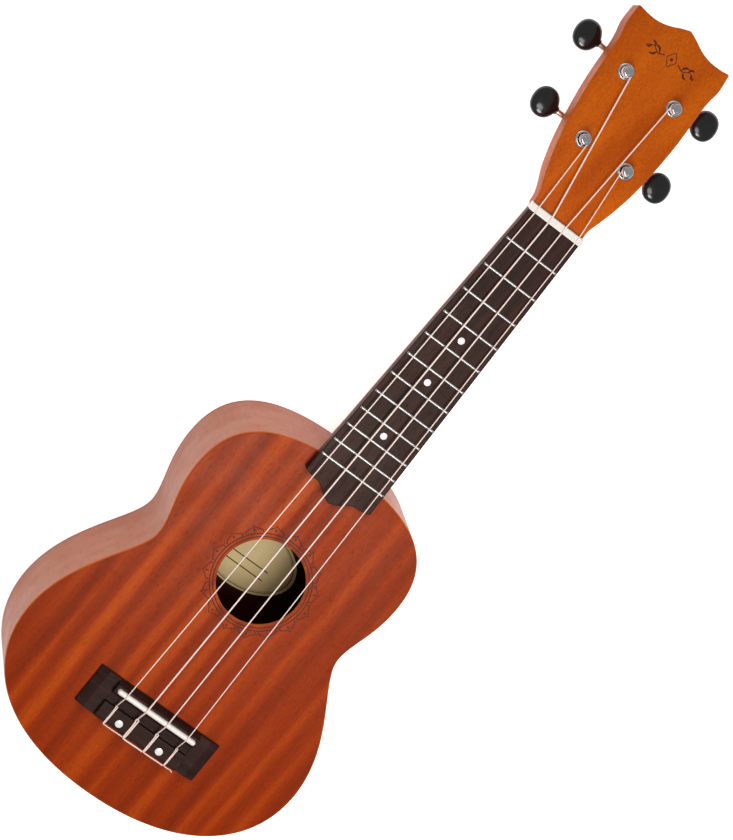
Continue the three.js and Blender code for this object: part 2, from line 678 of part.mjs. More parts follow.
function addBridge() {
  const heights = (list) => list.map(([y, up]) => new THREE.Vector2(y, topZ + up));
  const middle = heights([
    [rearY, 0],
    [frontY, 0],
    [frontY, BRIDGE_EDGE_HEIGHT],
    [frontY - BRIDGE_FRONT_BEVEL, BRIDGE_HEIGHT],
    [channelFrontY, BRIDGE_HEIGHT],
    [channelFrontY - CHANNEL_SLOPE, CHANNEL_FLOOR],
    [channelRearY, CHANNEL_FLOOR],
    [channelRearY, TIE_BLOCK_HEIGHT],
    [rearY + TIE_BLOCK_BEVEL, TIE_BLOCK_HEIGHT],
    [rearY, TIE_BLOCK_HEIGHT - TIE_BLOCK_BEVEL],
  ]);
  let bridge = solid(barAcross(middle, BRIDGE_BLOCK_WIDTH / 2));
  const half = BRIDGE_WIDTH / 2;
  const wing = [
    [-half, 0],
    [half, 0],
    [half, BRIDGE_EDGE_HEIGHT],
    [half - BRIDGE_WING_BEVEL, BRIDGE_WING_HEIGHT],
    [BRIDGE_WING_BEVEL - half, BRIDGE_WING_HEIGHT],
    [-half, BRIDGE_EDGE_HEIGHT],
  ].map(([x, up]) => new THREE.Vector2(x, topZ + up));
  const wings = prism(wing, 0, BRIDGE_DEPTH).rotateX(Math.PI / 2).translate(0, frontY, 0);
  const trench = boxOf(-BRIDGE_BLOCK_WIDTH / 2, BRIDGE_BLOCK_WIDTH / 2, channelRearY,
    channelFrontY - CHANNEL_SLOPE, topZ + CHANNEL_FLOOR, topZ + BRIDGE_HEIGHT);
  bridge = bridge.add(solid(wings)).subtract(solid(trench));
  const slotHalf = SADDLE_WIDTH / 2 + SADDLE_FIT;
  const slotGap = SADDLE_THICKNESS / 2 + SADDLE_FIT;
  const slot = boxOf(-slotHalf, slotHalf, saddleY - slotGap, saddleY + slotGap,
    topZ + SADDLE_SLOT_FLOOR, topZ + BRIDGE_HEIGHT + 1);
  bridge = bridge.subtract(solid(slot));
  STRINGS.forEach((_, index) => {
    const x = stringX(index, STRING_SADDLE_SPACING);
    const hole = rod(TIE_HOLE_RADIUS, -1, BRIDGE_DEPTH, 10).rotateX(Math.PI / 2);
    const start = (channelFrontY + channelRearY) / 2;
    bridge = bridge.subtract(solid(hole.translate(x, start, topZ + TIE_HOLE_HEIGHT)));
  });
  add("bridge", geometryOf(bridge), MATERIALS.bridge);
}

function addSaddle() {
  const low = topZ + SADDLE_SLOT_FLOOR + SADDLE_FIT;
  const high = topZ + SADDLE_HEIGHT;
  const half = SADDLE_THICKNESS / 2;
  const section = [
    [saddleY - half, low],
    [saddleY + half, low],
    [saddleY + half, high - half],
    [saddleY + half * 0.6, high - half * 0.3],
    [saddleY, high],
    [saddleY - half * 0.6, high - half * 0.3],
    [saddleY - half, high - half],
  ].map(([y, z]) => new THREE.Vector2(y, z));
  const bar = solid(barAcross(section, SADDLE_WIDTH / 2));
  const plan = new THREE.Shape();
  const flat = SADDLE_WIDTH / 2 - half;
  plan.absarc(flat, saddleY, half, -TAU / 4, TAU / 4);
  plan.absarc(-flat, saddleY, half, TAU / 4, (3 * TAU) / 4);
  const rounded = solid(prism(plan.getPoints(6), low - 1, high + 1));
  add("saddle", geometryOf(bar.intersect(rounded)), MATERIALS.bone);
}

// ---- strings ------------------------------------------------------------------------------

// A line through chosen points, with one straight step between each two.
class Route extends THREE.CatmullRomCurve3 {
  getUtoTmapping(u) {
    return u;
  }
}

function stringRoute(string, index) {
  const r = string.radius;
  const nutX = stringX(index, STRING_NUT_SPACING);
  const x = stringX(index, STRING_SADDLE_SPACING);
  const { across, along } = POST_ROWS[string.row];
  const postX = string.side * (across - POST_WAIST_RADIUS - r - STRING_GAP * 3);
  const postEnd = new THREE.Vector3(postX, along, POST_HEIGHT / 2).applyMatrix4(headMatrix());
  const saddleZ = topZ + SADDLE_HEIGHT + r + STRING_GAP;
  const nutZ = nutStringZ(string);
  const hole = topZ + TIE_HOLE_HEIGHT;
  const over = topZ + TIE_BLOCK_HEIGHT + r + STRING_GAP * 2;
  const behind = rearY - r - STRING_GAP * 2;
  const slope = (postEnd.z - nutZ) / (postEnd.y - headY);
  const points = [
    postEnd,
    [nutX + (postEnd.x - nutX) * 0.03, headY + 1, nutZ + slope - 0.05],
    [nutX, headY - 0.6, nutZ - 0.02],
    [nutX, headY - 1.6, nutZ],
    [nutX, nutY, nutZ],
    [x, saddleY + 1.4, saddleZ - 0.02],
    [x, saddleY, saddleZ],
    [x, saddleY - 1.1, saddleZ - 0.45],
    [x, saddleY - 2.6, saddleZ - 1.9],
    [x, channelRearY + 1.4, hole + 0.5],
    [x, channelRearY, hole],
    [x, rearY + 1, hole],
    [x, rearY - 0.4, hole + 0.1],
    [x + 0.1, behind - 0.35, hole + 0.9],
    [x + 0.2, behind, over - 1.4],
    [x + 0.3, rearY + TIE_BLOCK_BEVEL * 0.6, over - 0.15],
    [x + 0.4, rearY + TIE_BLOCK_BEVEL + 1, over],
    [x + 0.6, channelRearY - 1, over],
    [x + 0.8, channelRearY + 0.5, over + 0.1],
  ];
  return points.map((p) => (Array.isArray(p) ? new THREE.Vector3(...p) : p));
}

function addStrings() {
  STRINGS.forEach((string, index) => {
    const points = stringRoute(string, index);
    const path = new Route(points, false, "centripetal");
    const section = new THREE.Shape(circle(string.radius, 0, 0, STRING_SIDES));
    const steps = points.length - 1;
    const geometry = new THREE.ExtrudeGeometry(section, {
      steps,
      extrudePath: path,
      bevelEnabled: false,
    });
    add(string.name, geometry, MATERIALS.string);
  });
}

// ---- tuners -------------------------------------------------------------------------------
// Each is drawn about its post: x outwards across the headstock, y towards the tip, z out of
// the face. The bass side's are mirror images of the treble side's.

function addPlate(name, parent) {
  const back = -HEAD_THICKNESS - SEAT_GAP;
  const halfX = PLATE_ACROSS / 2;
  const low = back - PLATE_THICKNESS;
  let plate = solid(boxOf(-halfX, halfX, -PLATE_BELOW, PLATE_ABOVE, low, back));
  const inner = (WORM_TURNS * wormLead) / 2 + LUG_GAP;
  for (const side of [-1, 1]) {
    const [a, b] = [side * inner, side * (inner + LUG_THICKNESS)].sort((p, q) => p - q);
    const lug = boxOf(a, b, wormOffset - LUG_HALF_WIDTH, wormOffset + LUG_HALF_WIDTH,
      wormZ - LUG_DROP, low + PLATE_THICKNESS / 2);
    plate = plate.add(solid(lug));
  }
  const shaftBore = rodAcross(SHAFT_RADIUS + SHAFT_CLEARANCE, -halfX, halfX, wormOffset, wormZ, 12);
  plate = plate.subtract(solid(shaftBore));
  plate = plate.subtract(solid(rod(POST_SHANK_RADIUS + POST_CLEARANCE, low - 1, back + 1, 12)));
  for (const y of [PLATE_SCREW_INSET - PLATE_BELOW, PLATE_ABOVE - PLATE_SCREW_INSET]) {
    const hole = rod(PLATE_SCREW_RADIUS, low - 1, back + 1, 8).translate(0, y, 0);
    plate = plate.subtract(solid(hole));
  }
  add(`tuner_plate_${name}`, geometryOf(plate), MATERIALS.chrome, parent);
}

// The worm's thread is a round bar wound on the shaft's core.
function addWorm(name, parent) {
  const half = (WORM_TURNS * wormLead) / 2;
  const turns = WORM_TURNS - 0.5;
  class Helix extends THREE.Curve {
    getPoint(t) {
      const wound = (t - 0.5) * turns;
      const angle = Math.PI + wound * TAU;
      const y = WORM_PITCH_RADIUS * Math.cos(angle);
      return new THREE.Vector3(wound * wormLead, y, WORM_PITCH_RADIUS * Math.sin(angle));
    }
  }
  const section = new THREE.Shape(circle(THREAD_RADIUS, 0, 0, 6));
  const thread = new THREE.ExtrudeGeometry(section, {
    steps: Math.round(turns * 9),
    extrudePath: new Helix(),
    bevelEnabled: false,
  });
  const collarX = half + LUG_GAP + LUG_THICKNESS + LUG_GAP;
  const end = KNOB_OFFSET - KNOB_HALF_WIDTH + KNOB_BORE_DEPTH - KNOB_NECK_LENGTH -
    KNOB_BORE_SPARE;
  const core = rodAcross(WORM_CORE_RADIUS, -half - 1, half + 1, 0, 0, 10);
  let shaft = solid(core).add(solid(thread));
  const ends = [
    [SHAFT_RADIUS, -half - LUG_GAP - LUG_THICKNESS - SHAFT_STUB, -half],
    [SHAFT_RADIUS, half, end],
    [COLLAR_RADIUS, collarX, collarX + COLLAR_LENGTH],
  ];
  for (const [radius, from, to] of ends) {
    shaft = shaft.add(solid(rodAcross(radius, from, to, 0, 0, 12)));
  }
  const geometry = geometryOf(shaft).translate(0, wormOffset, wormZ);
  add(`worm_shaft_${name}`, geometry, MATERIALS.chrome, parent);
}

function addKnob(name, parent) {
  const mouth = KNOB_OFFSET - KNOB_HALF_WIDTH - KNOB_NECK_LENGTH;
  const oval = new THREE.SphereGeometry(1, 16, 9)
    .rotateX(Math.PI / 2)
    .scale(KNOB_HALF_WIDTH, KNOB_HALF_LENGTH, KNOB_HALF_THICKNESS)
    .translate(KNOB_OFFSET, 0, 0);
  const collar = rodAcross(KNOB_NECK_RADIUS, mouth, KNOB_OFFSET - KNOB_HALF_WIDTH / 2, 0, 0, 12);
  const bore = rodAcross(SHAFT_RADIUS + SEAT_GAP, mouth - 1, mouth + KNOB_BORE_DEPTH, 0, 0, 12);
  const knob = solid(oval).add(solid(collar)).subtract(solid(bore));
  const geometry = geometryOf(knob).translate(0, wormOffset, wormZ);
  add(`knob_${name}`, geometry, MATERIALS.knob, parent);
}

// A toothed wheel whose teeth lean to follow the worm's thread.
function gearGeometry() {
  const root = gearPitchRadius - THREAD_RADIUS - ROOT_CLEARANCE;
  const tip = wormOffset - WORM_CORE_RADIUS - TOOTH_CLEARANCE;
  const points = [];
  for (let tooth = 0; tooth < GEAR_TEETH; tooth++) {
    const middle = (tooth * TAU) / GEAR_TEETH;
    const corners = [
      [root, -0.3],
      [tip, -0.13],
      [tip, 0.13],
      [root, 0.3],
    ];
    for (const [radius, share] of corners) {
      const angle = middle + (share * TAU) / GEAR_TEETH;
      points.push(new THREE.Vector2(radius * Math.cos(angle), radius * Math.sin(angle)));
    }
  }
  const shape = new THREE.Shape(points);
  const geometry = new THREE.ExtrudeGeometry(shape, {
    depth: GEAR_THICKNESS,
    bevelEnabled: false,
  }).translate(0, 0, -GEAR_THICKNESS / 2);
  const place = geometry.attributes.position;
  const lean = wormLead / (TAU * WORM_PITCH_RADIUS * gearPitchRadius);
  for (let i = 0; i < place.count; i++) {
    const angle = lean * place.getZ(i);
    const [x, y] = [place.getX(i), place.getY(i)];
    place.setX(i, x * Math.cos(angle) - y * Math.sin(angle));
    place.setY(i, x * Math.sin(angle) + y * Math.cos(angle));
  }
  return geometry.translate(0, 0, wormZ);
}

function addPost(name, parent) {
  const foot = wormZ - GEAR_THICKNESS / 2 - POST_FOOT;
  const shoulder = wormZ + GEAR_THICKNESS / 2 + HUB_HEIGHT;
  const shank = turned(
    [
      [0, foot],
      [POST_SHANK_RADIUS, foot],
      [POST_SHANK_RADIUS, -FERRULE_SLEEVE_LENGTH],
      [POST_RADIUS, -FERRULE_SLEEVE_LENGTH + 0.8],
      [POST_RADIUS, POST_HEIGHT / 2 - 1],
      [POST_WAIST_RADIUS, POST_HEIGHT / 2 - 0.4],
      [POST_WAIST_RADIUS, POST_HEIGHT / 2 + 0.6],
      [POST_RADIUS, POST_HEIGHT / 2 + 1.4],
      [POST_RADIUS, POST_HEIGHT - 0.4],
      [POST_RADIUS - 0.5, POST_HEIGHT],
      [0, POST_HEIGHT],
    ],
    12,
  );
  const hub = rod(POST_SHANK_RADIUS + HUB_WALL, wormZ, shoulder, 12);
  const hole = rodAcross(POST_HOLE_RADIUS, -9, 9, 0, POST_HEIGHT / 2 + 0.1, 8);
  const post = solid(shank).add(solid(hub)).add(solid(gearGeometry()));
  const geometry = geometryOf(post.subtract(solid(hole)));
  add(`post_${name}`, geometry, MATERIALS.chrome, parent);
}

function addFerrule(name, parent) {
  const bore = POST_RADIUS + POST_CLEARANCE;
  const ring = turned(
    [
      [bore, -FERRULE_SLEEVE_LENGTH],
      [FERRULE_SLEEVE_RADIUS, -FERRULE_SLEEVE_LENGTH],
      [FERRULE_SLEEVE_RADIUS, SEAT_GAP],
      [FERRULE_RADIUS, SEAT_GAP],
      [FERRULE_RADIUS - 0.1, FERRULE_RIM * 0.5],
      [FERRULE_RADIUS - 0.7, FERRULE_RIM],
      [bore + 0.3, FERRULE_RIM],
      [bore, FERRULE_RIM - 0.3],
      [bore, -FERRULE_SLEEVE_LENGTH],
    ],
    16,
  );
  add(`ferrule_${name}`, ring, MATERIALS.chrome, parent);
}

function addTuners() {
  const face = new THREE.Group();
  face.position.set(0, headY, headZ);
  face.rotation.x = -headTilt;
  ukulele.add(face);
  for (const { name, side, x, y } of tunerPlaces) {
    const tuner = new THREE.Group();
    tuner.position.set(x, y, 0);
    tuner.scale.x = side;
    face.add(tuner);
    addPlate(name, tuner);
    addWorm(name, tuner);
    addKnob(name, tuner);
    addPost(name, tuner);
    addFerrule(name, tuner);
  }
}

addPlates();
addSides();
addBlocks();
addLinings();
addInside();
addNeck();
addFretboard();
addFrets();
addNut();
addBridge();
addSaddle();
addStrings();
addTuners();

export default ukulele;
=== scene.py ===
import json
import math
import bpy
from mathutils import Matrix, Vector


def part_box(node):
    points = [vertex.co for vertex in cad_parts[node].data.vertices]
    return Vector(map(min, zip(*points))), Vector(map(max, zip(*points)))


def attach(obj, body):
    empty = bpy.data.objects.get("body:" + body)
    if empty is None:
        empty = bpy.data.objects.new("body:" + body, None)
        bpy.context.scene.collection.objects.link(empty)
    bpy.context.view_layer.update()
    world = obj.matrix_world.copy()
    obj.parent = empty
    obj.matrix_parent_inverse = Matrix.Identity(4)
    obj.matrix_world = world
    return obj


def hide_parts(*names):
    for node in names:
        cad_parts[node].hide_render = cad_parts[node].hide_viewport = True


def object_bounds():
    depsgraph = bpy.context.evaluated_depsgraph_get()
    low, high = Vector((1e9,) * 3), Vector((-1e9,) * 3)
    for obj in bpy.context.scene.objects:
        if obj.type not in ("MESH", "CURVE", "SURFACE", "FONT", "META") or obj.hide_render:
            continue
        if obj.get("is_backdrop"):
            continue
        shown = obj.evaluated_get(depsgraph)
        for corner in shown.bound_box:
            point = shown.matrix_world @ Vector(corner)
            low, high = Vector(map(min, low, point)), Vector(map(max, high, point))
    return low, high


bl_info = {
    "name": "Soprano Ukulele",
    "version": (1, 0, 0),
    "blender": (4, 5, 0),
    "location": "3D View > Sidebar > Ukulele",
    "description": "Builds the visible pieces of a soprano ukulele around its packed frame",
    "category": "Add Mesh",
}

import bpy
import numpy as np
from mathutils import Matrix, Quaternion, Vector
from mathutils.kdtree import KDTree

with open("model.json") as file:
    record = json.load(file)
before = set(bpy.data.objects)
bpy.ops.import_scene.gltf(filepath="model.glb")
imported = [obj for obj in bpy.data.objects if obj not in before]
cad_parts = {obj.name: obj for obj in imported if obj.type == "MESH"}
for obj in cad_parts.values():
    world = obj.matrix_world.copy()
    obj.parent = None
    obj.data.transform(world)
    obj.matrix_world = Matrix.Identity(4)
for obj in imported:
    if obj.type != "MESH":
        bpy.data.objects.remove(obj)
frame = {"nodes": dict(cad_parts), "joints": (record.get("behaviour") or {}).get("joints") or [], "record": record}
CAD_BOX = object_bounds()

MM = 0.001
TOUCH = 0.02 * MM  # two corners closer than this are the same corner
ROOT = "root"


# ---- places read from the frame ------------------------------------------------------------

BOARD_LOW, BOARD_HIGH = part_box("soundboard")
BACK_LOW, BACK_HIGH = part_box("back")
FRETBOARD_LOW, FRETBOARD_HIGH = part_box("fretboard")
NUT_LOW, NUT_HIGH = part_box("nut")
SADDLE_LOW, SADDLE_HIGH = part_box("saddle")
BRIDGE_LOW, BRIDGE_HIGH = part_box("bridge")
BODY_TOP = BOARD_HIGH.y
NUT_Y, HEAD_Y = NUT_LOW.y, NUT_HIGH.y
TOP_Z = BOARD_HIGH.z
SADDLE_Y = (SADDLE_LOW.y + SADDLE_HIGH.y) / 2

JOINTS = {joint["name"]: joint for joint in frame["joints"]}
OPENINGS = {hole["name"]: hole["box_m"] for hole in frame["record"]["physics"]["openings"]}
HOLE_X, HOLE_Y = ((OPENINGS["sound_hole"][0][k] + OPENINGS["sound_hole"][1][k]) / 2 for k in (0, 1))
TUNERS = [name[len("post_spin_"):] for name in JOINTS if name.startswith("post_spin_")]
HEAD_NORMAL = Vector(JOINTS["post_spin_" + TUNERS[0]]["axis"]).normalized()
HEAD_ALONG = Vector((0, HEAD_NORMAL.z, -HEAD_NORMAL.y))
STRING_NAMES = ["string_g", "string_c", "string_e", "string_a"]
STRING_POSTS = ["bass_lower", "bass_upper", "treble_upper", "treble_lower"]
# Each lamp's name, place, size in metres and power in watts
LAMPS = [("key", (0.115, -0.006, 0.724), 0.3, 2.9), ("fill", (-0.03, 0.31, 0.42), 0.2, 0.5)]
SKY_STRENGTH = 0.42
# The label's border lines and ruled lines, as shares of its half sizes
LABEL_BORDERS = [(0.93, 0.011), (0.895, 0.004)]
LABEL_ROWS = [-0.1, -0.38]


def side_of(tuner):
    return -1 if tuner.startswith("bass") else 1


def on_face(place, across):
    """From axes on the headstock's face, with x towards the side across, to the frame."""
    columns = [Vector((across, 0, 0)), HEAD_ALONG, HEAD_NORMAL]
    turn = Matrix([[column[k] for column in columns] for k in range(3)]).to_4x4()
    return Matrix.Translation(place) @ turn


def tuner_matrix(tuner):
    """From a tuner's own axes (x outwards, y towards the tip, z out of the face) to the frame."""
    return on_face(Vector(JOINTS["post_spin_" + tuner]["pos_m"]), side_of(tuner))


def head_matrix():
    """From the headstock's own axes, at the middle of its root, to the frame."""
    post = Vector(JOINTS["post_spin_" + TUNERS[0]]["pos_m"])
    run = (post.y - HEAD_Y) / HEAD_ALONG.y
    return on_face(Vector((0, post.y, post.z)) - HEAD_ALONG * run, 1)


def worm_place(tuner):
    """Where the worm's axis passes the post, in the tuner's own axes."""
    place = Vector(JOINTS["knob_spin_" + tuner]["pos_m"])
    return tuner_matrix(tuner).inverted() @ place


WORM = worm_place(TUNERS[0])


# ---- sizes and colours ---------------------------------------------------------------------


def srgb(red, green, blue):
    """Screen values from 0 to 255 as the linear values that shaders use."""
    shares = [value / 255 for value in (red, green, blue)]
    return tuple(s / 12.92 if s <= 0.04045 else ((s + 0.055) / 1.055) ** 2.4 for s in shares)


def length(name, description, default):
    return bpy.props.FloatProperty(
        name=name, description=description, default=default, min=0.0, precision=5,
        subtype="DISTANCE", unit="LENGTH")


def angle(name, description, degrees):
    return bpy.props.FloatProperty(
        name=name, description=description, default=math.radians(degrees), subtype="ANGLE")


def colour(name, description, default):
    return bpy.props.FloatVectorProperty(
        name=name, description=description, default=default, size=3, min=0.0, max=1.0,
        subtype="COLOR")


class UKULELE_PG_body(bpy.types.PropertyGroup):
    """Sizes of the body's edges, rosette and bridge."""

    edge_round: length("Edge rounding", "Rounding of the plates' outer edges", 1.1 * MM)
    joint_round: length("Joint line", "Tiny rounding where plates and sides meet", 0.12 * MM)
    hole_round: length("Hole rounding", "Rounding of the sound hole's edge", 0.7 * MM)
    outline_step: length("Outline step", "Spacing of points along the body's outline", 1.8 * MM)
    ring_inner: length("Inner ring", "Radius of the rosette's inner line", 26.4 * MM)
    ring_outer: length("Outer ring", "Radius of the rosette's outer line", 28.2 * MM)
    petal_tip: length("Petal tips", "Radius that the rosette's petals reach", 33.2 * MM)
    petals: bpy.props.IntProperty(
        name="Petals", description="Petals round the rosette", default=16, min=3)
    line_width: length("Line width", "Width of the rosette's burned lines", 0.6 * MM)
    block_half: length("Tie block half width", "Half width of the bridge's raised middle", 28 * MM)
    wing_height: length("Wing height", "Height of the bridge's wings", 4.2 * MM)
    wing_bevel: length("Wing bevel", "Width of the bevel at the wings' ends", 5.5 * MM)
    tie_height: length("Tie block height", "Height of the tie block", 7.4 * MM)
    string_hole: length("String holes", "Height of the string holes in the tie block", 5.2 * MM)
    saddle_lip: length("Saddle lip", "Wood between the saddle and the channel", 0.8 * MM)
    channel_width: length("Channel width", "Width of the string channel", 7 * MM)
    channel_floor: length("Channel floor", "Height of the string channel's floor", 3.8 * MM)
    bridge_bevel: length("Bridge bevel", "Bevel of the bridge's front edge", 2.2 * MM)
    dot_place: length("Bridge dots", "Distance of the bridge's dots from the middle", 13.8 * MM)
    dot_radius: length("Bridge dot radius", "Radius of the bridge's dots", 2.2 * MM)


class UKULELE_PG_neck(bpy.types.PropertyGroup):
    """Sizes of the neck, fretboard and headstock."""

    depth_nut: length("Depth at the nut", "Neck depth under the fretboard at the nut", 13.5 * MM)
    depth_heel: length("Depth at the heel", "Neck depth near the heel", 15.5 * MM)
    shoulder: length("Shoulder", "Straight edge below the fretboard", 1.2 * MM)
    set_in: length("Set-in", "How far the neck's edge lies inside the fretboard's", 0.3 * MM)
    heel_reach: length("Heel reach", "How far the heel stands out at the back", 15.5 * MM)
    heel_sweep: length("Heel sweep", "How far the heel sweeps out under the neck", 44 * MM)
    heel_half: length("Heel half width", "Half width of the heel at the back", 6 * MM)
    heel_top_half: length("Heel top", "Half width of the heel under the neck", 20.4 * MM)
    head_round: length("Headstock rounding", "Rounding of the headstock's edges", 0.9 * MM)
    head_thickness: length("Headstock thickness", "Thickness of the headstock", 12.5 * MM)
    grid: length("Carving grid", "Grid size of the carved neck", 0.7 * MM)
    board_round: length("Fretboard rounding", "Rounding of the fretboard's long edges", 0.55 * MM)
    fret_width: length("Fret width", "Width of a fret's crown", 1.8 * MM)
    fret_inset: length("Fret inset", "From the board's edge to a fret's end", 0.6 * MM)
    marker_radius: length("Marker radius", "Radius of the position markers", 1.95 * MM)


class UKULELE_PG_strings(bpy.types.PropertyGroup):
    """Sizes of the strings."""

    radii: bpy.props.FloatVectorProperty(
        name="Radii", description="Radii of the four strings, bass side first", size=4,
        default=(0.32 * MM, 0.46 * MM, 0.4 * MM, 0.3 * MM), precision=5, unit="LENGTH")
    nut_spacing: length("Spacing at the nut", "Between strings at the nut", 9.3 * MM)
    saddle_spacing: length("Spacing at the saddle", "Between strings at the saddle", 13.9 * MM)
    nut_slot: length("Nut slot", "Depth of the nut's slots", 0.7 * MM)
    turns: bpy.props.FloatProperty(
        name="Turns", description="Turns of a string on its post", default=2.6, min=1.0)


class UKULELE_PG_tuners(bpy.types.PropertyGroup):
    """Sizes of the tuners, in each tuner's own axes."""

    post_radius: length("Post radius", "Radius of a post's head", 3.0 * MM)
    post_waist: length("Post waist", "Radius where the string winds", 2.4 * MM)
    post_height: length("Post height", "Height above the headstock's face", 5.6 * MM)
    shank_radius: length("Shank radius", "Radius of the post inside the headstock", 2.2 * MM)
    ferrule_radius: length("Ferrule radius", "Outer radius of the ferrule's rim", 4.9 * MM)
    sleeve_radius: length("Sleeve radius", "Radius of the ferrule's sleeve", 4.1 * MM)
    sleeve_length: length("Sleeve length", "How deep the ferrule goes in", 6 * MM)
    plate_across: length("Plate width", "Width of the base plate", 12.4 * MM)
    plate_below: length("Plate below", "From the post to the plate's nut end", 8 * MM)
    plate_above: length("Plate above", "From the post to the plate's tip end", 13 * MM)
    plate_thickness: length("Plate thickness", "Thickness of the base plate", 1.0 * MM)
    teeth: bpy.props.IntProperty(
        name="Teeth", description="Teeth of the wheel on each post", default=14, min=6)
    module: length("Module", "Pitch diameter over the number of teeth", 0.62 * MM)
    gear_thickness: length("Wheel thickness", "Thickness of the toothed wheel", 2.6 * MM)
    worm_turns: bpy.props.FloatProperty(
        name="Worm turns", description="Turns of the worm's thread", default=3.2, min=1.0)
    worm_core: length("Worm core", "Radius of the worm below its thread", 1.5 * MM)
    shaft_radius: length("Shaft radius", "Radius of the worm shaft", 1.75 * MM)
    lug_gap: length("Lug gap", "Between the worm's thread and a lug", 0.35 * MM)
    lug_thickness: length("Lug thickness", "Thickness of a lug", 1.5 * MM)
    knob_offset: length("Knob offset", "From the post to the middle of the knob", 24.7 * MM)
    knob_half_length: length("Knob half length", "Half the knob along the headstock", 8.75 * MM)
    knob_half_width: length("Knob half width", "Half the knob along its shaft", 7.75 * MM)
    knob_half_thickness: length("Knob half thickness", "Half the knob's thickness", 4.0 * MM)
    knob_collar: length("Knob collar", "Radius of the knob's collar", 2.35 * MM)


class UKULELE_PG_colours(bpy.types.PropertyGroup):
    """Colours of the finishes."""

    body_dark: colour("Body dark", "Dark ribbons of the body's wood", srgb(120, 33, 0))
    body_middle: colour("Body middle", "Middle tone of the body's wood", srgb(147, 45, 0))
    body_light: colour("Body light", "Light ribbons of the body's wood", srgb(181, 71, 4))
    side_dark: colour("Sides dark", "Dark grain of the sides", srgb(142, 58, 12))
    side_light: colour("Sides light", "Light grain of the sides", srgb(172, 86, 32))
    neck_dark: colour("Neck dark", "Dark streaks of the neck's wood", srgb(160, 60, 2))
    neck_light: colour("Neck light", "Light wood of the neck", srgb(206, 98, 8))
    board_dark: colour("Fretboard dark", "Dark streaks of the fretboard", srgb(26, 19, 21))
    board_light: colour("Fretboard light", "Light streaks of the fretboard", srgb(62, 34, 30))
    bridge_dark: colour("Bridge dark", "Dark streaks of the bridge", srgb(30, 18, 18))
    bridge_light: colour("Bridge light", "Light streaks of the bridge", srgb(56, 34, 31))
    inner_dark: colour("Inner dark", "Dark lines of the wood inside", srgb(190, 150, 96))
    inner_light: colour("Inner light", "Light wood inside", srgb(226, 196, 146))
    bone: colour("Nut and saddle", "Colour of the nut and saddle", srgb(232, 224, 216))
    string: colour("Strings", "Colour of the strings", srgb(240, 217, 207))
    pearl: colour("Pearl", "Colour of the markers and dots", srgb(228, 226, 222))
    chrome: colour("Chrome", "Colour of the tuners' plating", srgb(196, 196, 199))
    steel: colour("Steel", "Colour of shafts, frets and screws", srgb(206, 203, 198))
    knob: colour("Knobs", "Colour of the knobs", srgb(12, 12, 15))
    paper: colour("Label", "Colour of the paper label", srgb(240, 214, 158))
    ink: colour("Ink", "Colour of the label's lines", srgb(60, 46, 30))
    burn: colour("Burned lines", "Colour of lines burned in the wood", srgb(80, 27, 9))
    floor: colour("Floor", "Colour of the studio floor", srgb(250, 250, 250))


class UKULELE_PG_studio(bpy.types.PropertyGroup):
    """Where the camera stands."""

    azimuth: angle("Azimuth", "The camera's direction round the object", -122.014)
    elevation: angle("Elevation", "The camera's height above the horizon", 71.4255)
    roll: angle("Roll", "The camera's turn about its line of sight", 159.83)
    distance: length("Distance", "From the aim point to the camera", 2260 * MM)
    aim: bpy.props.FloatVectorProperty(
        name="Aim", description="The point in the middle of the view", size=3, precision=5,
        default=(-11.8 * MM, 143.9 * MM, 58 * MM), unit="LENGTH", subtype="TRANSLATION")
    lens: bpy.props.FloatProperty(
        name="Lens", description="Focal length on a 36 mm sensor", default=179.8, min=10.0)


# ---- solids --------------------------------------------------------------------------------

# Stands a flat piece up, its y as height and its height as distance towards the tail
STANDING = Matrix(((1, 0, 0, 0), (0, 0, -1, 0), (0, 1, 0, 0), (0, 0, 0, 1)))
# Lays a flat piece across, its x along the neck, its y as height and its height along x
CROSSING = Matrix(((0, 0, 1, 0), (1, 0, 0, 0), (0, 1, 0, 0), (0, 0, 0, 1)))


class Solid:
    """Points and faces gathered for one mesh."""

    def __init__(self):
        self.points = []
        self.faces = []

    def ring(self, points):
        start = len(self.points)
        self.points.extend(Vector(point) for point in points)
        return list(range(start, len(self.points)))

    def bridge(self, a, b):
        """Faces between two closed rings of the same length, or a ring and a single point."""
        count = max(len(a), len(b))
        for i in range(count):
            j = (i + 1) % count
            if len(a) == 1:
                self.faces.append((a[0], b[j], b[i]))
            elif len(b) == 1:
                self.faces.append((a[i], a[j], b[0]))
            else:
                self.faces.append((a[i], a[j], b[j], b[i]))

    def cap(self, ring, flip=False):
        self.faces.append(tuple(reversed(ring)) if flip else tuple(ring))

    def skin(self, rings, capped=False):
        """Joins each ring to the next, and closes both ends if capped."""
        for a, b in pairs(rings):
            self.bridge(a, b)
        if capped:
            self.cap(rings[0], flip=True)
            self.cap(rings[-1])

    def add(self, other):
        start = len(self.points)
        self.points.extend(other.points)
        self.faces.extend(tuple(i + start for i in face) for face in other.faces)
        return self

    def moved(self, matrix):
        made = Solid()
        made.points = [matrix @ point for point in self.points]
        mirrored = matrix.to_3x3().determinant() < 0
        made.faces = [tuple(reversed(face)) if mirrored else face for face in self.faces]
        return made


def pairs(items):
    return zip(items, items[1:])


def circle(radius, steps, x=0.0, y=0.0):
    turns = [i * math.tau / steps for i in range(steps)]
    return [(x + radius * math.cos(a), y + radius * math.sin(a)) for a in turns]


def lathe(profile, steps=48):
    """A turned solid about z. The profile of (radius, height) ends on the axis or closes."""
    made = Solid()
    rings = []
    for radius, height in profile:
        flat = circle(radius, steps) if radius > 0 else [(0, 0)]
        rings.append(made.ring((x, y, height) for x, y in flat))
    if profile[0][0] > 0:
        rings.append(rings[0])
    made.skin(rings)
    return made


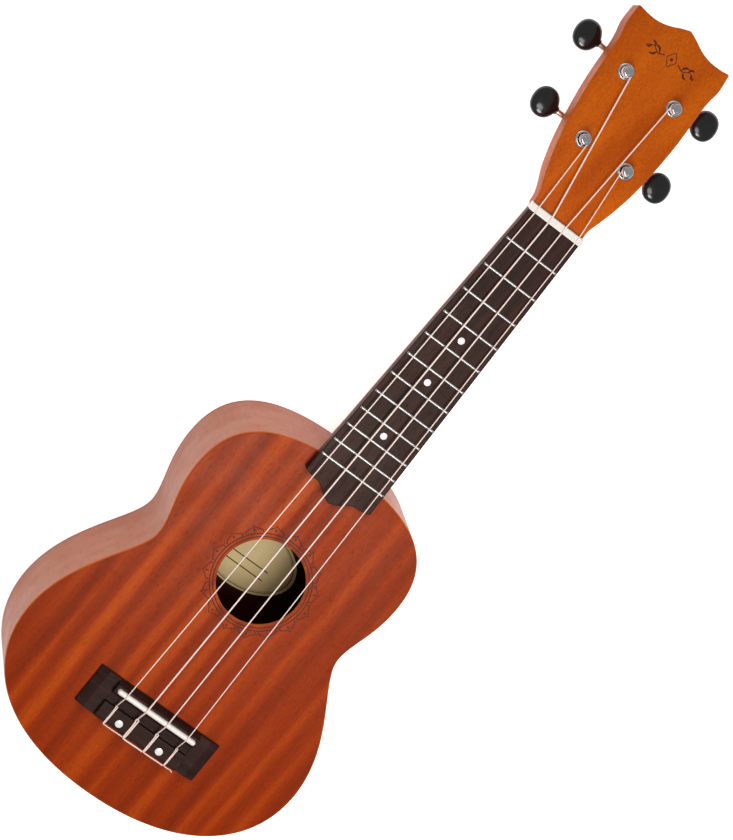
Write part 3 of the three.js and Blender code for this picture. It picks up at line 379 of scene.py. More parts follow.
def filleted(points, radius, steps=4, closed=True):
    """A polyline of 2D points with its corners rounded."""
    made = []
    count = len(points)
    for i, point in enumerate(points):
        corner = Vector(point)
        if not closed and i in (0, count - 1):
            made.append(corner)
            continue
        before, after = Vector(points[i - 1]), Vector(points[(i + 1) % count])
        reach = min(radius, (before - corner).length * 0.49, (after - corner).length * 0.49)
        start = corner + (before - corner).normalized() * reach
        end = corner + (after - corner).normalized() * reach
        for k in range(steps + 1):
            t = k / steps
            made.append(start * (1 - t) ** 2 + corner * (2 * t * (1 - t)) + end * t * t)
    return made


def offset(loop, inset):
    """A closed loop of 2D points, in order anticlockwise, moved inwards."""
    made = []
    count = len(loop)
    for i, point in enumerate(loop):
        into = (point - loop[i - 1]).normalized()
        out = (loop[(i + 1) % count] - point).normalized()
        left = Vector((-into.y - out.y, into.x + out.x))
        normal = left.normalized()
        slant = max(normal.dot(Vector((-out.y, out.x))), 0.4)
        made.append(point + normal * (inset / slant))
    return made


def rim(low, high, top_round, bottom_round, steps):
    """(inset, height) pairs down an edge that is rounded at both faces."""
    quarter = [k * math.pi / 2 / steps for k in range(steps + 1)]
    down = [(top_round * (1 - math.sin(a)), high - top_round * (1 - math.cos(a))) for a in quarter]
    under = [(bottom_round * (1 - math.cos(a)), low + bottom_round * (1 - math.sin(a)))
             for a in quarter]
    return down + under


def slab(loop, low, high, top_round=0.0, bottom_round=0.0, steps=4, hole=None):
    """A flat piece with rounded edges. hole is (centre, radius, rounding) of a round opening."""
    made = Solid()
    loop = [Vector(point) for point in loop]
    profile = rim(low, high, max(top_round, 1e-6), max(bottom_round, 1e-6), steps)
    rings = [made.ring((*p, z) for p in offset(loop, inset)) for inset, z in profile]
    for a, b in pairs(rings):
        made.bridge(b, a)
    if hole is None:
        made.cap(rings[0])
        made.cap(rings[-1], flip=True)
        return made
    centre, radius, rounding = hole
    ways = [(point - centre).normalized() for point in loop]
    inner = [made.ring((*(centre + way * (radius + inset)), z) for way in ways)
             for inset, z in rim(low, high, rounding, rounding, steps)]
    made.skin(inner)
    made.bridge(rings[0], inner[0])
    made.bridge(inner[-1], rings[-1])
    return made


def through(points, step, closed=False, corner=None):
    """A smooth line through points, with samples about a step apart. Sharp turns stay sharp."""
    points = [Vector(point) for point in points]
    count = len(points)

    def is_corner(i):
        if corner is None:
            return False
        a, b, c = points[i - 1], points[i], points[(i + 1) % count]
        return (b - a).angle(c - b, 0.0) > corner

    made = []
    for i in range(count if closed else count - 1):
        b, c = points[i], points[(i + 1) % count]
        a = points[i - 1] if closed or i else 2 * b - c
        d = points[(i + 2) % count] if closed or i + 2 < count else 2 * c - b
        if is_corner(i):
            a = 2 * b - c
        if is_corner((i + 1) % count):
            d = 2 * c - b
        ab, bc, cd = ((q - p).length ** 0.5 + 1e-9 for p, q in ((a, b), (b, c), (c, d)))
        leave = (c - b) + ((b - a) / ab - (c - a) / (ab + bc)) * bc
        arrive = (c - b) + ((d - c) / cd - (d - b) / (bc + cd)) * bc
        steps = max(1, math.ceil((c - b).length / step))
        for k in range(steps):
            t = k / steps
            h00, h10 = 2 * t**3 - 3 * t**2 + 1, t**3 - 2 * t**2 + t
            h01, h11 = 3 * t**2 - 2 * t**3, t**3 - t**2
            made.append(b * h00 + leave * h10 + c * h01 + arrive * h11)
    if not closed:
        made.append(points[-1])
    return made


def tube(path, radius, sides=12):
    """A round bar along a path, with domed ends."""
    made = Solid()
    tangents = [(path[min(i + 1, len(path) - 1)] - path[max(i - 1, 0)]).normalized()
                for i in range(len(path))]
    across = tangents[0].orthogonal().normalized()
    rings = []

    def ring(centre, normal, size):
        other = tangent.cross(normal)
        return made.ring(
            centre + (normal * math.cos(a) + other * math.sin(a)) * size
            for a in (i * math.tau / sides for i in range(sides)))

    domes = [math.radians(10), math.radians(35), math.radians(60)]
    last = len(path) - 1
    for i, (centre, tangent) in enumerate(zip(path, tangents)):
        across = (across - tangent * across.dot(tangent)).normalized()
        if i == 0:
            rings.append(made.ring([centre - tangent * radius]))
            for a in domes:
                rings.append(ring(centre - tangent * radius * math.cos(a), across,
                                  radius * math.sin(a)))
        rings.append(ring(centre, across, radius))
        if i == last:
            for a in reversed(domes):
                rings.append(ring(centre + tangent * radius * math.cos(a), across,
                                  radius * math.sin(a)))
            rings.append(made.ring([centre + tangent * radius]))
    made.skin(rings)
    return made


def strip(path, widths, low, high):
    """A thin flat ribbon along a path of 2D points, as wide as widths says at each."""
    path = [Vector(point) for point in path]
    left, right = [], []
    for i, point in enumerate(path):
        way = (path[min(i + 1, len(path) - 1)] - path[max(i - 1, 0)]).normalized()
        side = Vector((-way.y, way.x)) * widths[i] / 2
        left.append(point + side)
        right.append(point - side)
    return slab(right + left[::-1], low, high)


def to_mesh(solid, name):
    mesh = bpy.data.meshes.new(name)
    mesh.from_pydata([tuple(p) for p in solid.points], [], solid.faces)
    mesh.validate()
    return mesh


def make(name, solid):
    made = bpy.data.objects.new(name, to_mesh(solid, name))
    bpy.context.scene.collection.objects.link(made)
    return made


def evaluated(piece):
    """The piece's mesh with its modifiers applied; they are then removed."""
    graph = bpy.context.evaluated_depsgraph_get()
    graph.update()
    old = piece.data
    piece.data = bpy.data.meshes.new_from_object(piece.evaluated_get(graph), depsgraph=graph)
    piece.modifiers.clear()
    bpy.data.meshes.remove(old)
    return piece


def combine(piece, tool, operation="DIFFERENCE", crossing=False):
    """Joins a solid to the piece or cuts it away. crossing says that the solid's parts overlap."""
    other = make("tool", tool)
    change = piece.modifiers.new("combine", "BOOLEAN")
    change.operation = operation
    change.solver = "EXACT"
    change.use_self = crossing
    change.object = other
    evaluated(piece)
    mesh = other.data
    bpy.data.objects.remove(other)
    bpy.data.meshes.remove(mesh)
    return piece


def as_solid(piece):
    """The piece's mesh as a Solid; the piece itself is removed."""
    made = Solid()
    made.points = [vertex.co.copy() for vertex in piece.data.vertices]
    made.faces = [tuple(face.vertices) for face in piece.data.polygons]
    mesh = piece.data
    bpy.data.objects.remove(piece)
    bpy.data.meshes.remove(mesh)
    return made


def cut_solid(solid, *tools):
    piece = make("blank", solid)
    for tool in tools:
        combine(piece, tool)
    return as_solid(piece)


def dress(piece, finish, slot, body=ROOT, stands_for=(), grain=None, sharp=32.0):
    """Gives a piece its finish, shading, body and the frame nodes that it stands for.
    grain gives a point's place in the wood: across, along and through the fibres."""
    mesh = piece.data
    mesh.materials.clear()
    mesh.materials.append(finish)
    mesh.shade_smooth()
    mesh.set_sharp_from_angle(angle=math.radians(sharp))
    if grain is not None:
        places = [grain(vertex.co) for vertex in mesh.vertices]
        attribute = mesh.attributes.new("grain", "FLOAT_VECTOR", "POINT")
        attribute.data.foreach_set("vector", np.array(places, np.float32).ravel())
    weighted = piece.modifiers.new("even shading", "WEIGHTED_NORMAL")
    weighted.keep_sharp = True
    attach(piece, body)
    if stands_for:
        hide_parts(*stands_for)
    return piece


def outline(node, centre, keep=None):
    """The outer corners of a flat frame node, in order round the centre."""
    low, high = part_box(node)
    places = [vertex.co for vertex in frame["nodes"][node].data.vertices]
    under = [p for p in places if abs(p.z - low.z) < TOUCH]
    tree = KDTree(len(under))
    for i, p in enumerate(under):
        tree.insert((p.x, p.y, 0), i)
    tree.balance()
    top = [Vector((p.x, p.y)) for p in places if abs(p.z - high.z) < TOUCH]
    found = [p for p in top if tree.find((p.x, p.y, 0))[2] < TOUCH and (keep is None or keep(p))]
    return in_order(found, centre)


def in_order(points, centre):
    points = sorted(points, key=lambda p: math.atan2(p.y - centre.y, p.x - centre.x))
    kept = []
    for point in points:
        if not kept or (point - kept[-1]).length > 5 * TOUCH:
            kept.append(point)
    if (kept[0] - kept[-1]).length <= 5 * TOUCH:
        kept.pop()
    return kept


# ---- finishes ------------------------------------------------------------------------------


class Finish:
    """Puts the shader nodes of one finish together."""

    def __init__(self, name, **constants):
        self.material = bpy.data.materials.new(name)
        self.material.use_nodes = True
        self.tree = self.material.node_tree
        self.shader = next(n for n in self.tree.nodes if n.type == "BSDF_PRINCIPLED")
        for socket, value in constants.items():
            self.feed(self.shader.inputs[socket.replace("_", " ")], value)

    def feed(self, socket, value):
        if isinstance(value, bpy.types.NodeSocket):
            self.tree.links.new(value, socket)
        elif socket.type == "RGBA":
            socket.default_value = (*value[:3], 1.0)
        else:
            socket.default_value = value

    def node(self, kind, inputs=(), **settings):
        made = self.tree.nodes.new("ShaderNode" + kind)
        for key, value in settings.items():
            setattr(made, key, value)
        for key, value in dict(inputs).items():
            self.feed(made.inputs[key], value)
        return made

    def math(self, operation, a, b=0.0, clamp=False):
        made = self.node("Math", {0: a, 1: b}, operation=operation, use_clamp=clamp)
        return made.outputs[0]

    def grain(self):
        return self.node("Attribute", attribute_name="grain").outputs["Vector"]

    def place(self):
        return self.node("TexCoord").outputs["Object"]

    def stretched(self, place, scale):
        return self.node("Mapping", {"Vector": place, "Scale": scale}).outputs[0]

    def noise(self, place, scale, detail=2.0, roughness=0.5, distortion=0.0):
        inputs = {"Vector": place, "Scale": scale, "Detail": detail, "Roughness": roughness,
                  "Distortion": distortion}
        return self.node("TexNoise", inputs).outputs[0]

    def ramp(self, factor, stops):
        made = self.node("ValToRGB", {"Fac": factor})
        places = made.color_ramp.elements
        while len(places) < len(stops):
            places.new(0.5)
        for element, (at, tone) in zip(places, stops):
            element.position = at
            element.color = (*tone[:3], 1.0)
        return made.outputs[0]

    def span(self, value, low, high, to_low=0.0, to_high=1.0):
        inputs = {"Value": value, "From Min": low, "From Max": high, "To Min": to_low,
                  "To Max": to_high}
        return self.node("MapRange", inputs, clamp=True).outputs[0]

    def mix(self, factor, a, b, blend="MIX"):
        made = self.node("Mix", {0: factor, 6: a, 7: b}, data_type="RGBA", blend_type=blend)
        return made.outputs[2]

    def graded(self, amount, tone, value, dark, light):
        """The tone made darker and lighter with a value, between two shares."""
        shades = self.ramp(value, [(0.3, grey(dark)), (0.7, grey(light))])
        return self.mix(amount, tone, shades, "MULTIPLY")

    def bump(self, height, distance, strength=1.0, under=None):
        inputs = {"Height": height, "Distance": distance, "Strength": strength}
        if under is not None:
            inputs["Normal"] = under
        return self.node("Bump", inputs).outputs[0]

    def surface(self, tone=None, roughness=None, normal=None):
        for name, value in (("Base Color", tone), ("Roughness", roughness), ("Normal", normal)):
            if value is not None:
                self.feed(self.shader.inputs[name], value)
        return self.material


def grey(value):
    return (value, value, value)


def shaded(tone, red, green=None, blue=None):
    """The tone times a share, or times a share for each channel."""
    shares = (red, red if green is None else green, red if blue is None else blue)
    return tuple(c * k for c, k in zip(tone, shares))


# Pale tan of the painted highlight along the top plate's rounded edge, where light catches it
PAINTED_EDGE_HIGHLIGHT = srgb(214, 122, 70)


def wood(name, tones, place, band, run, figure, pores, rough, shine=0.25, sway=3 * MM,
         highlight_below=None, inner=None, depth=1.0):
    """Wood with ribbons across the grain, fine fibres and pores. tones go from dark to light, band and
    run are a ribbon's width and length, and figure says how regular the ribbons are. The rounded edge
    below the given edge height gets a painted highlight, paler as if light caught it. Faces above
    inner get painted shade, darkened nearly to black as if in shadow."""
    made = Finish(name, Specular_IOR_Level=shine, Specular_Tint=(1.0, 0.84, 0.66))
    at = place(made)
    split = made.node("SeparateXYZ", {0: at})
    drift = made.noise(made.stretched(at, (26, 7, 26)), 1.0, 1.5)
    drift = made.math("MULTIPLY", made.math("SUBTRACT", drift, 0.5), sway * 2)
    swayed = made.math("ADD", split.outputs[0], drift)
    across = made.math("MULTIPLY", swayed, 1 / band)
    along = made.math("MULTIPLY", split.outputs[1], 1 / run)
    through_z = made.math("MULTIPLY", split.outputs[2], 1 / band)
    wide = made.node("CombineXYZ", {0: across, 1: along, 2: through_z}).outputs[0]
    ribbons = made.math("SUBTRACT", made.noise(wide, 1.0, 1.5, 0.5), 0.5)
    turns = made.math("MULTIPLY", made.math("ADD", across, through_z), math.tau)
    waves = made.math("MULTIPLY", made.math("SINE", turns), figure * 0.5)
    fine = made.noise(made.stretched(wide, (4.3, 2.0, 4.3)), 1.0, 2.0, 0.6)
    fine = made.math("MULTIPLY", made.math("SUBTRACT", fine, 0.5), 0.4)
    ribbons = made.math("ADD", made.math("MULTIPLY", ribbons, 1.5), fine)
    share = made.math("ADD", made.math("MULTIPLY", made.math("ADD", ribbons, waves), depth), 0.5)
    stops = [(i / (len(tones) - 1), tone) for i, tone in enumerate(tones)]
    tone = made.ramp(share, stops)
    fibres = made.noise(made.stretched(at, (1500, 60, 1500)), 1.0, 3.0, 0.65)
    tone = made.graded(0.5, tone, fibres, 0.72, 1.22)
    flecks = made.noise(made.stretched(at, (1500, 420, 1500)), 1.0, 2.0, 0.6)
    tone = made.graded(0.4, tone, flecks, 0.72, 1.25)
    pits = made.noise(made.stretched(at, (3000, 240, 3000)), 1.0, 1.0, 0.4, 0.3)
    pit = made.span(pits, 0.62, 0.72)
    tone = made.mix(made.math("MULTIPLY", pit, pores), tone, shaded(tones[0], 0.35))
    # Painted highlight: the rounded edge below the given height is made paler, as if light caught it
    if highlight_below is not None:
        edge_highlight = made.span(split.outputs[2], highlight_below, highlight_below - 0.35 * MM, 0.0, 0.55)
        tone = made.mix(edge_highlight, tone, PAINTED_EDGE_HIGHLIGHT)
    # Painted shade: faces above the given height, the inside of the body, are darkened nearly to black as if in
    # shadow
    if inner is not None:
        shade = made.span(split.outputs[2], inner - 0.2 * MM, inner)
        tone = made.mix(shade, tone, shaded(tones[0], 0.14))
    mottle = made.noise(at, 60.0, 2.0)
    roughness = made.math("ADD", made.span(mottle, 0.3, 0.7, rough - 0.04, rough + 0.05),
                          made.math("MULTIPLY", pit, 0.2))
    relief = made.bump(fibres, 0.03 * MM, 0.3)
    relief = made.bump(made.math("SUBTRACT", 1.0, pit), 0.05 * MM, 0.4, relief)
    return made.surface(tone, roughness, relief)


def smooth_white(name, tone, rough, scale):
    """Bone-like white with faint clouds."""
    made = Finish(name, Specular_IOR_Level=0.5, Subsurface_Weight=0.12,
                  Subsurface_Radius=(0.6 * MM, 0.45 * MM, 0.35 * MM), Subsurface_Scale=1.0)
    at = made.place()
    clouds = made.noise(at, scale, 3.0, 0.6)
    tone = made.mix(made.span(clouds, 0.35, 0.7, 0.0, 0.5), tone, shaded(tone, 0.86))
    streaks = made.noise(made.stretched(at, (120, 2400, 2400)), 1.0, 2.0)
    return made.surface(tone, made.span(streaks, 0.3, 0.7, rough - 0.06, rough + 0.08),
                        made.bump(streaks, 0.02 * MM, 0.3))


def metal(name, tone, rough, scratches):
    """Plated or drawn metal with faint scratches and smears."""
    made = Finish(name, Metallic=1.0)
    at = made.place()
    smears = made.noise(at, 340.0, 3.0, 0.6)
    lines = made.noise(made.stretched(at, (600, 5200, 5200)), 1.0, 2.0, 0.7)
    roughness = made.math("ADD", made.span(smears, 0.35, 0.7, rough, rough + 0.09),
                          made.span(lines, 0.55, 0.8, 0.0, scratches))
    tone = made.mix(made.span(smears, 0.3, 0.75, 0.0, 0.35), tone, shaded(tone, 0.8))
    return made.surface(tone, roughness, made.bump(lines, 0.01 * MM, 0.25))


def string_finish(name, tone):
    """Clear-white drawn line, a little translucent."""
    made = Finish(name, Specular_IOR_Level=0.6, Subsurface_Weight=0.25,
                  Subsurface_Radius=(0.5 * MM, 0.35 * MM, 0.3 * MM), Subsurface_Scale=1.0)
    clouds = made.noise(made.stretched(made.place(), (900, 160, 900)), 1.0, 2.0)
    tone = made.mix(made.span(clouds, 0.3, 0.7, 0.0, 0.4), tone, shaded(tone, 0.88))
    return made.surface(tone, made.span(clouds, 0.3, 0.7, 0.24, 0.36),
                        made.bump(clouds, 0.01 * MM, 0.3))


def knob_finish(name, tone):
    """Moulded glossy black, with faint handling marks."""
    made = Finish(name, Specular_IOR_Level=0.4, Coat_Weight=0.3, Coat_Roughness=0.08)
    at = made.place()
    marks = made.noise(at, 420.0, 4.0, 0.65)
    skin = made.noise(at, 1500.0, 2.0)
    tone = made.mix(made.span(marks, 0.4, 0.75, 0.0, 0.6), tone, shaded(tone, 1.9))
    return made.surface(tone, made.span(marks, 0.35, 0.75, 0.13, 0.26),
                        made.bump(skin, 0.015 * MM, 0.25))


def pearl_finish(name, tone):
    """Pearl with soft folded bands of tint."""
    made = Finish(name, Specular_IOR_Level=0.7, Coat_Weight=0.6, Coat_Roughness=0.06)
    at = made.place()
    folds = made.noise(made.stretched(at, (700, 1500, 900)), 1.0, 3.0, 0.6, 1.2)
    cool = shaded(tone, 0.78, 0.86, 0.9)
    warm = shaded(tone, 1.0, 0.93, 0.9)
    return made.surface(made.ramp(folds, [(0.3, cool), (0.5, tone), (0.7, warm)]),
                        made.span(folds, 0.3, 0.7, 0.16, 0.28), made.bump(folds, 0.01 * MM, 0.2))


def burned_finish(name, tone):
    """Lines burned into wood, darker where the fibres are soft."""
    made = Finish(name, Specular_IOR_Level=0.3)
    fibres = made.noise(made.stretched(made.place(), (2600, 120, 2600)), 1.0, 3.0)
    char = made.ramp(fibres, [(0.3, shaded(tone, 0.55)), (0.7, tone)])
    return made.surface(char, made.span(fibres, 0.3, 0.7, 0.55, 0.75),
                        made.bump(fibres, 0.03 * MM, 0.4))


def label_finish(name, paper, ink):
    """Aged paper with a printed border that follows its oval edge. It bears no lettering."""
    low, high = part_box("label")
    half = (high - low) / 2
    centre = (high + low) / 2
    made = Finish(name, Specular_IOR_Level=0.25)
    at = made.place()
    moved = made.node("VectorMath", {0: at, 1: tuple(-centre)}, operation="ADD").outputs[0]
    scale = (1 / half.x, 1 / half.y, 0)
    share = made.node("VectorMath", {0: moved, 1: scale}, operation="MULTIPLY").outputs[0]
    away = made.node("VectorMath", {0: share}, operation="LENGTH").outputs["Value"]
    fibres = made.noise(made.stretched(at, (1800, 700, 1800)), 1.0, 4.0, 0.7)
    stains = made.noise(at, 55.0, 3.0)
    tone = made.mix(made.span(stains, 0.35, 0.7, 0.0, 0.4), paper,
                    shaded(paper, 0.86, 0.78, 0.62))
    tone = made.graded(0.35, tone, fibres, 0.8, 1.1)
    for at_share, width in LABEL_BORDERS:
        gap = made.math("ABSOLUTE", made.math("SUBTRACT", away, at_share))
        tone = made.mix(made.span(gap, width, width * 0.6), tone, ink)
    across = made.node("SeparateXYZ", {0: share})
    side = made.math("ABSOLUTE", across.outputs[0])
    for row in LABEL_ROWS:
        gap = made.math("ABSOLUTE", made.math("SUBTRACT", across.outputs[1], row))
        on_row = made.span(gap, 0.02, 0.012)
        inside = made.span(side, 0.52, 0.5)
        tone = made.mix(made.math("MULTIPLY", on_row, inside), tone, ink)
    return made.surface(tone, made.span(fibres, 0.3, 0.7, 0.8, 0.92),
                        made.bump(fibres, 0.03 * MM, 0.5))


def floor_finish(name, tone):
    """Bright seamless studio floor."""
    made = Finish(name, Specular_IOR_Level=0.1, Emission_Strength=0.8,
                  Emission_Color=(1.0, 1.0, 1.0))
    cloud = made.noise(made.place(), 9.0, 2.0)
    tone = made.mix(made.span(cloud, 0.3, 0.7, 0.0, 0.3), tone, shaded(tone, 0.985))
    return made.surface(tone, made.span(cloud, 0.3, 0.7, 0.7, 0.8))


def along_x(made):
    """Object coordinates with the fibres along x."""
    split = made.node("SeparateXYZ", {0: made.place()})
    order = {0: split.outputs[1], 1: split.outputs[0], 2: split.outputs[2]}
    return made.node("CombineXYZ", order).outputs[0]


MAKERS = {
    # The top's rounded edge gets a painted highlight
    "top wood": lambda n, c: wood(
        n, [c.body_dark, c.body_middle, c.body_light], Finish.grain, 13.5 * MM, 230 * MM, 0.36,
        0.35, 0.35, 0.1, 4 * MM, highlight_below=TOP_Z, depth=0.95),
    # The back's inner face gets painted shade
    "back wood": lambda n, c: wood(
        n, [c.body_dark, c.body_middle, c.body_light], Finish.grain, 14 * MM, 240 * MM, 0.36,
        0.4, 0.38, 0.15, 4 * MM, inner=BACK_HIGH.z),
    "side wood": lambda n, c: wood(
        n, [c.side_dark, c.side_light], Finish.grain, 17 * MM, 260 * MM, 0.3, 0.4, 0.42, 0.36,
        4 * MM, depth=0.6),
    "neck wood": lambda n, c: wood(
        n, [c.neck_dark, c.neck_light], Finish.grain, 19 * MM, 120 * MM, 0.2, 0.5, 0.38, 0.16,
        depth=0.8),
    "fretboard wood": lambda n, c: wood(
        n, [c.board_dark, c.board_light], Finish.grain, 4.2 * MM, 70 * MM, 0.1, 0.5, 0.38, 0.08,
        1 * MM),
    "bridge wood": lambda n, c: wood(
        n, [c.bridge_dark, c.bridge_light], Finish.grain, 3.6 * MM, 60 * MM, 0.1, 0.5, 0.38,
        0.1, 1 * MM),
    "inner wood": lambda n, c: wood(
        n, [c.inner_dark, c.inner_light], Finish.place, 2.2 * MM, 160 * MM, 0.5, 0.2, 0.7, 0.1,
        1 * MM),
    "brace wood": lambda n, c: wood(
        n, [c.inner_dark, c.inner_light], along_x, 2.2 * MM, 160 * MM, 0.5, 0.2, 0.7, 0.1,
        1 * MM),
    "bone": lambda n, c: smooth_white(n, c.bone, 0.32, 210.0),
    "string": lambda n, c: string_finish(n, c.string),
    "pearl": lambda n, c: pearl_finish(n, c.pearl),
    "chrome": lambda n, c: metal(n, c.chrome, 0.09, 0.12),
    "steel": lambda n, c: metal(n, c.steel, 0.22, 0.2),
    "fret wire": lambda n, c: metal(n, tuple(k * 0.62 for k in c.steel), 0.3, 0.12),
    "knob": lambda n, c: knob_finish(n, c.knob),
    "burned line": lambda n, c: burned_finish(n, c.burn),
    "label paper": lambda n, c: label_finish(n, c.paper, c.ink),
    "studio floor": lambda n, c: floor_finish(n, c.floor),
}


def finish(name):
    """The named finish, made once."""
    found = bpy.data.materials.get(name)
    return found or MAKERS[name](name, bpy.context.scene.ukulele_colours)


# ---- shapes that several pieces share ------------------------------------------------------


def hole_radius():
    """Radius of the sound hole, from the soundboard's inner edge."""
    centre = Vector((HOLE_X, HOLE_Y))
    inside = Vector(OPENINGS["sound_hole"][1]).x * 2
    places = [Vector((v.co.x, v.co.y)) for v in frame["nodes"]["soundboard"].data.vertices]
    return max(r for r in ((p - centre).length for p in places) if r < inside)


def body_loop():
    """The body's outline as a smooth closed loop, anticlockwise from the bass side."""
    centre = Vector((HOLE_X, HOLE_Y))
    beyond = hole_radius() + MM
    corners = outline("soundboard", Vector((0, 0)), lambda p: (p - centre).length > beyond)
    return through(corners, bpy.context.scene.ukulele_body.outline_step, closed=True)


def head_loop():
    """The headstock's outline on its own face, with the crown's corners kept sharp."""
    into = head_matrix().inverted()
    low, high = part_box("ferrule_" + TUNERS[0])
    bore = (high.x - low.x) / 2 + MM
    posts = [(into @ Vector(JOINTS["post_spin_" + t]["pos_m"])).xy for t in TUNERS]
    places = [into @ vertex.co for vertex in frame["nodes"]["neck"].data.vertices]
    found = [p.xy for p in places if abs(p.z) < TOUCH
             and all((p.xy - post).length > bore for post in posts)]
    tip = max(p.y for p in found)
    corners = in_order(found, Vector((0, tip / 2)))
    return through(corners, 1.2 * MM, closed=True, corner=math.radians(26))


def board_half(y):
    """Half width of the fretboard at a place along it."""
    sizes = fretboard_widths()
    share = (NUT_Y - y) / (NUT_Y - sizes[2])
    return (sizes[0] + (sizes[1] - sizes[0]) * share) / 2


def fretboard_widths():
    """The fretboard's width at the nut and at its square corners, and where those are."""
    corners = outline("fretboard", Vector((0, (FRETBOARD_LOW.y + FRETBOARD_HIGH.y) / 2)))
    at_nut = max(p.x for p in corners if abs(p.y - FRETBOARD_HIGH.y) < TOUCH)
    widest = max(corners, key=lambda p: p.x)
    return 2 * at_nut, 2 * widest.x, widest.y


def cylinder(radius, low, high, steps=48):
    return lathe([(0, low), (radius, low), (radius, high), (0, high)], steps)


def about_x(solid):
    """Turns a solid made about z so that it lies along x."""
    return solid.moved(Matrix.Rotation(math.pi / 2, 4, "Y"))


def across_x(loop, half, rounding, steps=3):
    """A section in the (y, z) plane pushed along x, with its end edges rounded."""
    made = slab(loop, -half, half, rounding, rounding, steps)
    return made.moved(CROSSING)


def keep_grain(point):
    return point


def crosswise(point):
    return (point.y, point.x, point.z)


# ---- operators -----------------------------------------------------------------------------


class UKULELE_OT_studio(bpy.types.Operator):
    """Sets the camera, the floor and the lights"""

    bl_idname = "ukulele.studio"
    bl_label = "Studio"

    def execute(self, context):
        sizes = context.scene.ukulele_studio
        back = Vector((math.sin(sizes.azimuth) * math.cos(sizes.elevation),
                       -math.cos(sizes.azimuth) * math.cos(sizes.elevation),
                       math.sin(sizes.elevation)))
        camera = bpy.data.objects.new("camera", bpy.data.cameras.new("camera"))
        context.scene.collection.objects.link(camera)
        camera.data.lens = sizes.lens
        camera.data.clip_end = 20
        camera.location = Vector(sizes.aim) + back * sizes.distance
        camera.rotation_mode = "QUATERNION"
        level = (-back).to_track_quat("-Z", "Y")
        camera.rotation_quaternion = level @ Quaternion((0, 0, 1), sizes.roll)
        context.scene.camera = camera
        self.floor()
        self.lights(context)
        context.scene.view_settings.view_transform = "Standard"
        return {"FINISHED"}

    def floor(self):
        reach = 4.0
        rounded = filleted([(-reach, -reach), (reach, -reach), (reach, reach), (-reach, reach)],
                           reach / 4, 8)
        floor = make("floor", slab(rounded, -0.02, -0.0002, 0.004, 0.004))
        floor.data.materials.append(finish("studio floor"))
        floor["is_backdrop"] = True

    def lights(self, context):
        for name, place, size, power in LAMPS:
            lamp = bpy.data.lights.new(name, "AREA")
            lamp.shape = "DISK"
            lamp.size = size
            lamp.energy = power
            holder = bpy.data.objects.new(name, lamp)
            holder.location = place
            holder.visible_camera = False
            holder.rotation_mode = "QUATERNION"
            towards = Vector((0, place[1] * 0.6, TOP_Z)) - holder.location
            holder.rotation_quaternion = towards.to_track_quat("-Z", "Y")
            context.scene.collection.objects.link(holder)
        world = bpy.data.worlds.new("studio")
        world.use_nodes = True
        sky = next(n for n in world.node_tree.nodes if n.type == "BACKGROUND")
        sky.inputs["Color"].default_value = (1.0, 1.0, 1.0, 1.0)
        sky.inputs["Strength"].default_value = SKY_STRENGTH
        context.scene.world = world


class UKULELE_OT_body(bpy.types.Operator):
    """Builds the soundboard, back and both sides"""

    bl_idname = "ukulele.body"
    bl_label = "Body"

    def execute(self, context):
        sizes = context.scene.ukulele_body
        loop = body_loop()
        hole = (Vector((HOLE_X, HOLE_Y)), hole_radius(), sizes.hole_round)
        top = slab(loop, BOARD_LOW.z, TOP_Z, sizes.edge_round, sizes.joint_round, 6, hole)
        dress(make("top_plate", top), finish("top wood"), "body_wood",
              stands_for=["soundboard"], grain=keep_grain)
        back = slab(loop, BACK_LOW.z, BACK_HIGH.z, sizes.joint_round, sizes.edge_round, 6)
        dress(make("back_plate", back), finish("back wood"), "body_wood",
              stands_for=["back"], grain=keep_grain)
        self.sides(loop, sizes.joint_round)
        return {"FINISHED"}

    def sides(self, loop, rounding):
        thickness = self.thickness()
        tail = min(range(len(loop)), key=lambda i: loop[i].y)
        loop = loop[tail:] + loop[:tail]
        top = max(range(len(loop)), key=lambda i: loop[i].y)
        inner = offset(loop, thickness)
        runs = {
            "side_treble": (loop[:top + 1], inner[:top + 1]),
            "side_bass": (loop[top:] + loop[:1], inner[top:] + inner[:1]),
        }
        places, total = [], 0.0
        for i, point in enumerate(loop):
            total += (point - loop[i - 1]).length if i else 0.0
            places.append(total)
        tree = KDTree(2 * len(loop))
        for i, point in enumerate(loop + inner):
            tree.insert((*point, 0), i % len(loop))
        tree.balance()

        def grain(point):
            near = tree.find((point.x, point.y, 0))[1]
            along = min(places[near], places[-1] - places[near])
            return (point.z, along + (1.0 if point.x < 0 else 0.0), 0.0)

        for node, (outer, within) in runs.items():
            wall = slab(outer + within[::-1], BACK_HIGH.z, BOARD_LOW.z, rounding, rounding, 2)
            dress(make(node + "_panel", wall), finish("side wood"), "body_wood",
                  stands_for=[node], grain=grain)

    def thickness(self):
        """The sides' thickness, from where the frame's side crosses the middle line."""
        places = [v.co for v in frame["nodes"]["side_treble"].data.vertices]
        on_line = [p.y for p in places if abs(p.x) < TOUCH and p.y > 0]
        return max(on_line) - min(on_line)


class UKULELE_OT_inside(bpy.types.Operator):
    """Finishes the blocks, linings and braces, and builds the label"""

    bl_idname = "ukulele.inside"
    bl_label = "Inside"

    def execute(self, context):
        for name, node in frame["nodes"].items():
            if "brace" in name:
                node.data.materials.clear()
                node.data.materials.append(finish("brace wood"))
            elif "lining" in name or "block" in name or name == "bridge_plate":
                node.data.materials.clear()
                node.data.materials.append(finish("inner wood"))
        low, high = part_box("label")
        half, centre = (high - low) / 2, (high + low) / 2
        rim_points = [(centre.x + half.x * x, centre.y + half.y * y) for x, y in circle(1, 96)]
        label = make("paper_label", slab(rim_points, low.z, high.z, 0.05 * MM, 0.0, 2))
        dress(label, finish("label paper"), "label_paper", stands_for=["label"])
        return {"FINISHED"}


